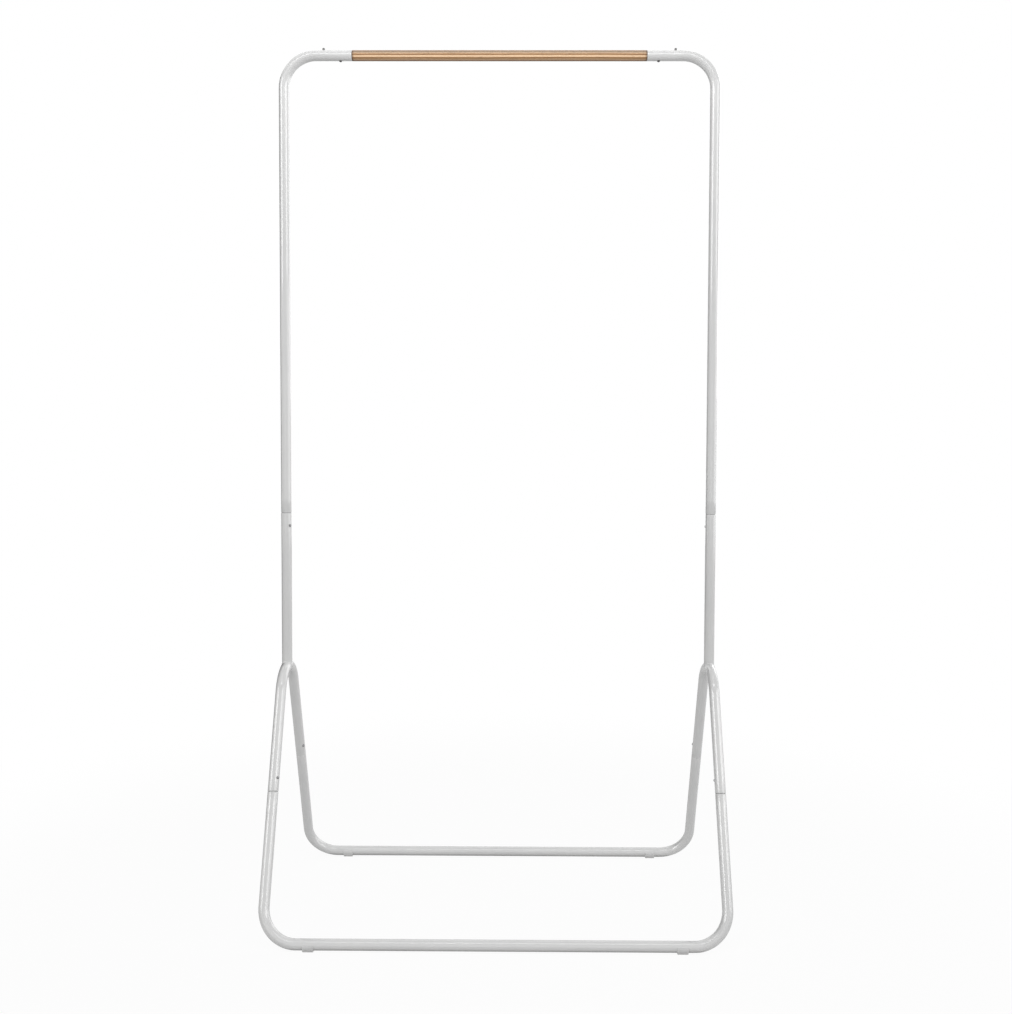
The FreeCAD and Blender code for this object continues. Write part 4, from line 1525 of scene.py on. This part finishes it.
@dataclass(frozen=True)
class LegFrame(SubAssembly):
    """One side's welded foot frame: the leg bend, the lower post on its crest and the weld between them."""

    plan: RailPlan
    stock: TubeStock
    side: Side
    blend_height: float = 0.030
    blend_rows: int = 14
    bead: float = 1.25 * MM
    bead_flat: float = 0.75
    bead_shift: float = 0.15 * MM
    bead_sides: int = 24
    ripple_share: float = 0.10
    ripples: int = 46
    ripple_points: int = 8

    def build(self) -> None:
        """Makes, drills and dresses the three pieces."""
        word, buttons = self.side.word, self.plan.buttons
        leg_holes = [self.stock.one_wall(buttons[f"leg_{depth.word}_{word}"]) for depth in Depth]
        post_holes = [self.stock.one_wall(buttons[f"post_{word}"])]
        set_piece(drilled(self.bend(), leg_holes), PAINT, Slot.TUBE, FRAME_BODY, f"leg_hairpin_{word}")
        set_piece(drilled(self.post(), post_holes), PAINT, Slot.TUBE, FRAME_BODY, f"post_{word}")
        set_piece(self.weld(), PAINT, Slot.TUBE, FRAME_BODY, f"weld_{word}")

    def bend(self) -> bpy.types.Object:
        """Makes the upside-down V from the front joint over the crest to the rear joint.

        Returns:
            The new object.
        """
        plan = self.plan
        line = BentLine([
            plan.leg_point(self.side, Depth.FRONT, plan.leg_joint),
            (self.side.value * plan.post_x, 0.0, plan.apex_z),
            plan.leg_point(self.side, Depth.REAR, plan.leg_joint),
        ], plan.bend_radius)
        return self.stock.piece(f"leg_bend_{self.side.word}", line, (TubeEnd.CUT, TubeEnd.CUT))

    def saddle(self, radius: Union[float, np.ndarray], angle: np.ndarray) -> np.ndarray:
        """Works out the height of the leg bend's skin under a circle about the post's axis.

        The distance from the bend's axis line is the bend radius plus the half chord of the tube at
        that X; the height is the half chord of that circle at that Y, above the bend's centre.

        Args:
            radius: Radius of the circle.
            angle: Angles about the post's axis.

        Returns:
            The heights.
        """
        x, y = radius * np.cos(angle), radius * np.sin(angle)
        reach = self.plan.bend_radius + np.sqrt(np.maximum(self.plan.tube_radius ** 2 - x ** 2, 0.0))
        return self.plan.bend_centre_z + np.sqrt(reach ** 2 - y ** 2)

    def post(self) -> bpy.types.Object:
        """Makes the lower post.

        Rows go from the saddle edge up the outside, over the open end and down the bore. A row's height
        is its share of the saddle's height at that angle plus the rest of a level height.

        Returns:
            The new object.
        """
        stock, plan = self.stock, self.plan
        blend_z = plan.crest_z + self.blend_height
        level = np.arange(blend_z, plan.post_joint_z - 2 * stock.swage, stock.run_step)[1:]
        share = np.r_[np.linspace(1.0, 0.0, self.blend_rows), np.zeros(len(level))]
        level = np.r_[np.full(self.blend_rows, blend_z), level]
        end = stock.end_rows(TubeEnd.CUT)
        shares = np.r_[share, np.zeros(len(end)), share[::-1]][:, None]
        levels = np.r_[level, plan.post_joint_z + end[:, 0], level[::-1]]
        outside, inside = (np.full(len(share), number) for number in (stock.radius, stock.bore))
        radius = np.r_[outside, end[:, 1], inside]
        angle = full_turn(stock.sides)[None, :]
        height = shares * self.saddle(radius[:, None], angle) + (1 - shares) * levels[:, None]
        x = self.side.value * plan.post_x + radius[:, None] * np.cos(angle)
        points = np.stack([x, radius[:, None] * np.sin(angle), height], axis=-1)
        return stock.skin(f"lower_post_{self.side.word}", points, radius, levels - plan.post_joint_z)

    def weld(self) -> bpy.types.Object:
        """Makes the rippled bead along the saddle edge.

        The section is a flattened circle on the direction half-way between the two tubes' normals and on
        the one square to it and to the edge; its size swells with the absolute sine of the angle.

        Returns:
            The new object, painted all over.
        """
        plan, radius = self.plan, self.plan.tube_radius
        angle = full_turn(self.ripple_points * self.ripples)
        post_normal = np.stack([np.cos(angle), np.sin(angle), np.zeros_like(angle)], axis=-1)
        edge = radius * post_normal + self.saddle(radius, angle)[:, None] * Z_AXIS
        along = unit(np.roll(edge, -1, axis=0) - np.roll(edge, 1, axis=0))
        to_bend = edge - (0.0, 0.0, plan.bend_centre_z)
        ray = unit(to_bend * ACROSS_X)
        middle = unit(post_normal + unit(to_bend - ray * plan.bend_radius))
        square = np.cross(along, middle)
        swell = self.bead * (1 + self.ripple_share * (np.abs(np.sin(self.ripples * angle / 2)) - 0.5))
        flattened = self.bead_flat * middle[:, None, :]
        section = circle_on(full_turn(self.bead_sides), flattened, square[:, None, :])
        line = edge + self.bead_shift * middle + (self.side.value * plan.post_x, 0.0, 0.0)
        points = line[:, None, :] + swell[:, None, None] * section
        unworn = np.zeros(len(angle) * self.bead_sides)
        quads = grid_quads(len(angle), self.bead_sides, True)
        return mesh_piece(f"weld_bead_{self.side.word}", points, quads, kept={"edge": unworn, "bore": unworn})


@dataclass(frozen=True)
class BaseTube(SubAssembly):
    """U-shaped base tube of the front or the rear legs, with its two floor glides."""

    plan: RailPlan
    stock: TubeStock
    depth: Depth
    seat_play: float = 0.05 * MM
    wrap: float = math.radians(100)
    wrap_rows: int = 81
    lip: float = 1.8 * MM
    half_sole: float = 7.0 * MM
    steepest: float = 0.2
    rounding: float = 1.2 * MM
    rounding_rows: int = 7
    corner_blend: float = 0.35 * MM
    groove: float = 0.25 * MM
    grooves: int = 5
    sole_rows: int = 61

    def build(self) -> None:
        """Makes and dresses the tube and its glides."""
        set_piece(self.tube(), PAINT, Slot.TUBE, FRAME_BODY, f"base_{self.depth.word}")
        for side in Side:
            set_piece(self.glide(side), GLIDE, Slot.FOOT, FRAME_BODY, f"foot_{self.depth.word}_{side.word}")

    def tube(self) -> bpy.types.Object:
        """Makes the tube from the left leg joint down, along the floor and up to the right leg joint.

        Returns:
            The new object, drilled for the legs' buttons.
        """
        plan = self.plan
        line = BentLine([
            plan.leg_point(Side.LEFT, self.depth, plan.leg_joint),
            plan.leg_point(Side.LEFT, self.depth, 0.0),
            plan.leg_point(Side.RIGHT, self.depth, 0.0),
            plan.leg_point(Side.RIGHT, self.depth, plan.leg_joint),
        ], plan.bend_radius)
        tube = self.stock.piece(f"base_tube_{self.depth.word}", line, (TubeEnd.SPIGOT, TubeEnd.SPIGOT))
        joints = [f"leg_{self.depth.word}_{side.word}" for side in Side]
        return drilled(tube, [self.stock.through(plan.buttons[joint]) for joint in joints])

    def sole_radius(self, angle: np.ndarray, share: np.ndarray, lip_radius: float) -> np.ndarray:
        """Works out a glide's outer radius about the bar's axis, before its edges are rounded.

        It is the softened lesser of the distance to the flat sole, which has shallow grooves, a cosine
        wave deep, and the distance to the slanted side. Past the angle at which that side touches the
        lip's outside it is the lip's radius.

        Args:
            angle: Angles from straight down.
            share: Places along the glide, from -1 to 1.
            lip_radius: Outer radius of the lips.

        Returns:
            Radii, as angles by places.
        """
        plan, blend = self.plan, self.corner_blend
        corner_reach = math.hypot(self.half_sole, plan.bar_z)
        touch = math.atan2(self.half_sole, plan.bar_z) + math.acos(lip_radius / corner_reach)
        to_side = lip_radius / np.cos(np.minimum(np.abs(angle), touch) - touch)
        wave = 0.5 - 0.5 * np.cos(TURN * self.grooves * (share + 1) / 2)
        down = np.maximum(np.cos(angle), self.steepest)
        to_sole = (plan.bar_z - self.groove * (1 - wave)[None, :]) / down[:, None]
        return -blend * np.log(np.exp(-to_sole / blend) + np.exp(-to_side[:, None] / blend))

    def glide(self, side: Side) -> bpy.types.Object:
        """Makes a clip-on glide: a closed loop along the bar, swept round the bar's axis from lip to lip.

        The outer radius runs in to the saddle's radius on a quarter ellipse at each lip, and the glide's
        ends are rounded by a quarter circle along the bar.

        Args:
            side: Side of the rail.

        Returns:
            The new object.
        """
        plan, rounding = self.plan, self.rounding
        box = NodeBox.of(f"foot_{self.depth.word}_{side.word}")
        half = float(box.size[0] / 2)
        straight = half - rounding
        inner = plan.tube_radius + self.seat_play
        angle = self.wrap * np.sin(np.linspace(-QUARTER, QUARTER, self.wrap_rows))
        ends = straight + rounding * np.sin(np.linspace(0.0, QUARTER, self.rounding_rows))
        x = np.r_[-ends[::-1], np.linspace(-straight, straight, self.sole_rows)[1:-1], ends]
        over = np.maximum(np.abs(x) - half + rounding, 0.0)
        drop = rounding - np.sqrt(np.maximum(rounding ** 2 - over ** 2, 0.0))
        outer = self.sole_radius(angle, x / half, inner + self.lip)
        near_tip = np.clip((np.abs(angle) * inner - self.wrap * inner + self.lip) / self.lip, 0.0, 1.0)
        thick = np.maximum(outer - inner - drop[None, :], 0.0) * np.sqrt(1 - near_tip ** 2)[:, None]
        reach = np.concatenate([inner + thick, np.full_like(thick, inner)[:, ::-1]], axis=1)
        along = np.broadcast_to(np.r_[x, x[::-1]], reach.shape)
        points = np.stack([box.centre[0] + along, box.centre[1] + reach * np.sin(angle)[:, None],
                           plan.bar_z - reach * np.cos(angle)[:, None]], axis=-1)
        name = f"floor_glide_{self.depth.word}_{side.word}"
        return folded_shut(mesh_piece(name, points, grid_quads(*reach.shape)))


@dataclass(frozen=True)
class SnapJoint(SubAssembly):
    """Spring snap button of one slip joint, and the leaf spring behind it."""

    joint: str
    place: ButtonPlace
    clip: bpy.types.Object
    dome: float = 1.2 * MM
    ease: float = 0.2 * MM
    neck: float = 1.2 * MM
    clench: float = 2.0 * MM
    clench_thick: float = 0.8 * MM
    leaf: float = 0.6 * MM

    def build(self) -> None:
        """Makes and dresses the button, and gives the spring its finish."""
        set_piece(self.button(), BUTTON_STEEL, Slot.BUTTON, f"snap_{self.joint}", f"button_{self.joint}")
        dress(self.clip, SPRING)
        LOG.info("%s: kept solid, %s", self.clip.name, SPRING.name)

    def button(self) -> bpy.types.Object:
        """Makes the pin by turning its profile: clenched rivet, neck in the leaf, pin and domed tip.

        Returns:
            The new object.
        """
        place, radius = self.place, self.place.radius
        shoulder = self.clench_thick + self.leaf
        rim = place.tip - place.clenched - self.dome
        profile = np.concatenate([
            [(0.0, 0.0)],
            eased_edge(0.0, self.clench, self.ease, True),
            [(self.clench_thick, self.clench), (self.clench_thick, self.neck), (shoulder, self.neck)],
            eased_edge(shoulder, radius, self.ease, True),
            [(rim, radius)],
            dome_rows(rim, radius, self.dome)[1:],
        ])
        origin = place.centre + place.clenched * place.facing
        return turned_piece(f"snap_button_{self.joint}", profile, origin, place.facing, edges=(rim,))


# Studio

@dataclass(frozen=True)
class Softbox:
    """Large soft lamp, by its direction and spread as seen from the rail, in degrees, and its glow."""

    name: str
    azimuth: float
    elevation: float
    wide: float
    tall: float
    distance: float
    glow: float
    middle: Point = (0.0, 0.0, 0.8)
    mirrored: bool = True

    def build(self) -> None:
        """Hangs the lamp, facing the rail's middle; azimuth runs from the front to the right.

        A side is twice the distance times the tangent of half its spread, and the power is pi times the
        area times the glow.
        """
        azimuth, elevation = math.radians(self.azimuth), math.radians(self.elevation)
        level = math.cos(elevation)
        away = Vector((level * math.sin(azimuth), -level * math.cos(azimuth), math.sin(elevation)))
        halves = (math.radians(spread) / 2 for spread in (self.wide, self.tall))
        width, height = (2 * self.distance * math.tan(half) for half in halves)
        lamp = bpy.data.lights.new(self.name, "AREA")
        lamp.shape = "RECTANGLE"
        lamp.size, lamp.size_y = width, height
        lamp.energy = math.pi * width * height * self.glow
        holder = bpy.data.objects.new(self.name, lamp)
        place = Vector(self.middle) + self.distance * away
        holder.matrix_world = Matrix.Translation(place) @ away.to_track_quat("Z", "Y").to_matrix().to_4x4()
        holder.visible_camera = False
        holder.visible_glossy = self.mirrored
        bpy.context.scene.collection.objects.link(holder)


@dataclass(frozen=True)
class Studio:
    """White studio: floor, backdrop, soft lamps, a dark card on the left, and the camera."""

    floor_half: float = 9.0
    floor_paint: float = 0.95
    floor_bounce: float = 0.66
    shadow_share: float = 0.06
    shadow_fade: Band = (0.7, 1.6)
    ambient: float = 0.35
    card_near: tuple[float, float] = (-2.9, 0.1)
    card_far: tuple[float, float] = (-1.3, 2.6)
    card_height: float = 2.8
    card_grey: float = 0.05
    image_side: float = 1014.0
    focal_pixels: float = 1032.72
    sensor: float = 36.0
    camera_place: Point = (0.02874, -1.94531, 0.83049)
    yaw: float = -0.00723
    pitch: float = 0.04086
    roll: float = 0.00301
    lamps: tuple[Softbox, ...] = (
        Softbox("left_key", azimuth=-51, elevation=20, wide=26, tall=20, distance=30.0, glow=3.7),
        Softbox("right_key", azimuth=56, elevation=20, wide=34, tall=18, distance=30.0, glow=2.7),
        Softbox("front_high", azimuth=0, elevation=27, wide=50, tall=14, distance=30.0, glow=0.3),
        Softbox("front_fill", azimuth=-12, elevation=2, wide=50, tall=12, distance=8.0, glow=0.35),
        Softbox("rail_lamp", azimuth=0, elevation=47.6, wide=44, tall=8.6, distance=1.855, glow=2.9),
        Softbox("rail_strip", azimuth=0, elevation=-14, wide=96, tall=11.4, distance=0.3, glow=2.6,
                middle=(0.0, 0.0, 1.588), mirrored=False),
        Softbox("left_fill", azimuth=-95, elevation=4, wide=40, tall=20, distance=8.0, glow=0.6),
        Softbox("right_fill", azimuth=85, elevation=3, wide=60, tall=20, distance=8.0, glow=1.2),
        Softbox("back_right", azimuth=135, elevation=20, wide=40, tall=30, distance=6.0, glow=1.1),
        Softbox("top", azimuth=0, elevation=75, wide=40, tall=30, distance=5.0, glow=0.5),
        Softbox("top_back", azimuth=180, elevation=50, wide=40, tall=25, distance=5.0, glow=0.7),
    )

    def build(self) -> None:
        """Makes the studio."""
        bpy.context.scene.view_settings.view_transform = "Standard"
        self.world()
        self.floor()
        self.card()
        for lamp in self.lamps:
            lamp.build()
        self.camera()

    @staticmethod
    def seen(graph: Graph, *kinds: str) -> Field:
        """Tells the rays that show the backdrop from those that only light the object.

        Args:
            graph: Graph to add to.
            kinds: Kinds of ray besides those straight from the camera and through glass.

        Returns:
            1 for rays that show it.
        """
        shown = graph.ray("Is Camera Ray")
        for kind in ("Is Transmission Ray", *kinds):
            shown = shown.either(graph.ray(kind))
        return shown

    def world(self) -> None:
        """Hangs a white backdrop where it is seen, with a dimmer even light on the object."""
        world = bpy.data.worlds.new("studio_air")
        bpy.context.scene.world = world
        world.use_nodes = True
        graph = Graph(world.node_tree)
        strength = self.ambient + (1.0 - self.ambient) * self.seen(graph, "Is Glossy Ray")
        back = graph.node("ShaderNodeBackground", None, {"Color": WHITE, "Strength": strength})
        graph.node("ShaderNodeOutputWorld", None, {"Surface": back})

    @staticmethod
    def sheet(name: str, corners: Sequence[Point]) -> tuple[bpy.types.Object, Graph]:
        """Makes a flat four-cornered stage piece.

        Args:
            name: Name of the piece and of its material.
            corners: Corners in order.

        Returns:
            The object and the empty graph of its material.
        """
        mesh = bpy.data.meshes.new(name)
        mesh.from_pydata(list(corners), [], [(0, 1, 2, 3)])
        made = bpy.data.objects.new(name, mesh)
        bpy.context.scene.collection.objects.link(made)
        paint, graph = new_material(name)
        mesh.materials.append(paint)
        return made, graph

    def floor(self) -> None:
        """Lays a pale floor that looks white to the camera and keeps the shadow, also in reflections."""
        half = self.floor_half
        corners = ((-half, -half), (half, -half), (half, half), (-half, half))
        _, graph = self.sheet("studio_floor", [(*corner, 0.0) for corner in corners])
        bounce, shaded = graph.diffuse(self.floor_bounce), graph.diffuse(self.floor_paint)
        white = graph.node("ShaderNodeEmission", None, {"Color": WHITE, "Strength": 1.0})
        near = 1.0 - graph.band(graph.length(graph.place()), *self.shadow_fade)
        shown = graph.between(self.shadow_share * near, white, shaded)
        unseen = graph.between(graph.ray("Is Glossy Ray"), bounce, shaded)
        graph.shown(graph.between(self.seen(graph), unseen, shown))

    def card(self) -> None:
        """Stands a dark card out of sight, left behind the rail, that draws its left edges."""
        near, far, top = self.card_near, self.card_far, self.card_height
        made, graph = self.sheet("dark_card", [(*near, 0.0), (*far, 0.0), (*far, top), (*near, top)])
        made.visible_camera = False
        graph.shown(graph.diffuse(self.card_grey))

    def camera(self) -> None:
        """Sets the camera at the photograph's angle: yaw to the right, pitch down, then roll."""
        forward = Vector((math.sin(self.yaw) * math.cos(self.pitch),
                          math.cos(self.yaw) * math.cos(self.pitch), -math.sin(self.pitch)))
        level = Vector((math.cos(self.yaw), -math.sin(self.yaw), 0.0))
        upright = level.cross(forward)
        right = math.cos(self.roll) * level + math.sin(self.roll) * upright
        up = math.cos(self.roll) * upright - math.sin(self.roll) * level
        lens = bpy.data.cameras.new("studio_camera")
        lens.sensor_width = self.sensor
        lens.lens = self.focal_pixels / self.image_side * self.sensor
        holder = bpy.data.objects.new("studio_camera", lens)
        axes = Matrix((right, up, -forward)).transposed().to_4x4()
        holder.matrix_world = Matrix.Translation(self.camera_place) @ axes
        bpy.context.scene.collection.objects.link(holder)
        bpy.context.scene.camera = holder


def main() -> None:
    """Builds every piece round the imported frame, then the studio."""
    logging.basicConfig(level=logging.INFO, format="%(name)s: %(message)s")
    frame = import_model()
    plan = RailPlan.from_frame(frame)
    stock = TubeStock(plan.tube_radius, plan.spigot)
    LOG.info("tube radius %.4f m, bend radius %.4f m, lean %.2f degrees",
             plan.tube_radius, plan.bend_radius, math.degrees(plan.lean))
    parts: list[SubAssembly] = [HangingBar(plan, stock)]
    parts += [CornerTube(plan, stock, side) for side in Side]
    parts += [LegFrame(plan, stock, side) for side in Side]
    parts += [BaseTube(plan, stock, depth) for depth in Depth]
    for joint, place in plan.buttons.items():
        parts.append(SnapJoint(joint, place, frame["nodes"][f"clip_{joint}"]))
    for part in parts:
        part.build()
    Studio().build()


if __name__ == "__main__":
    main()
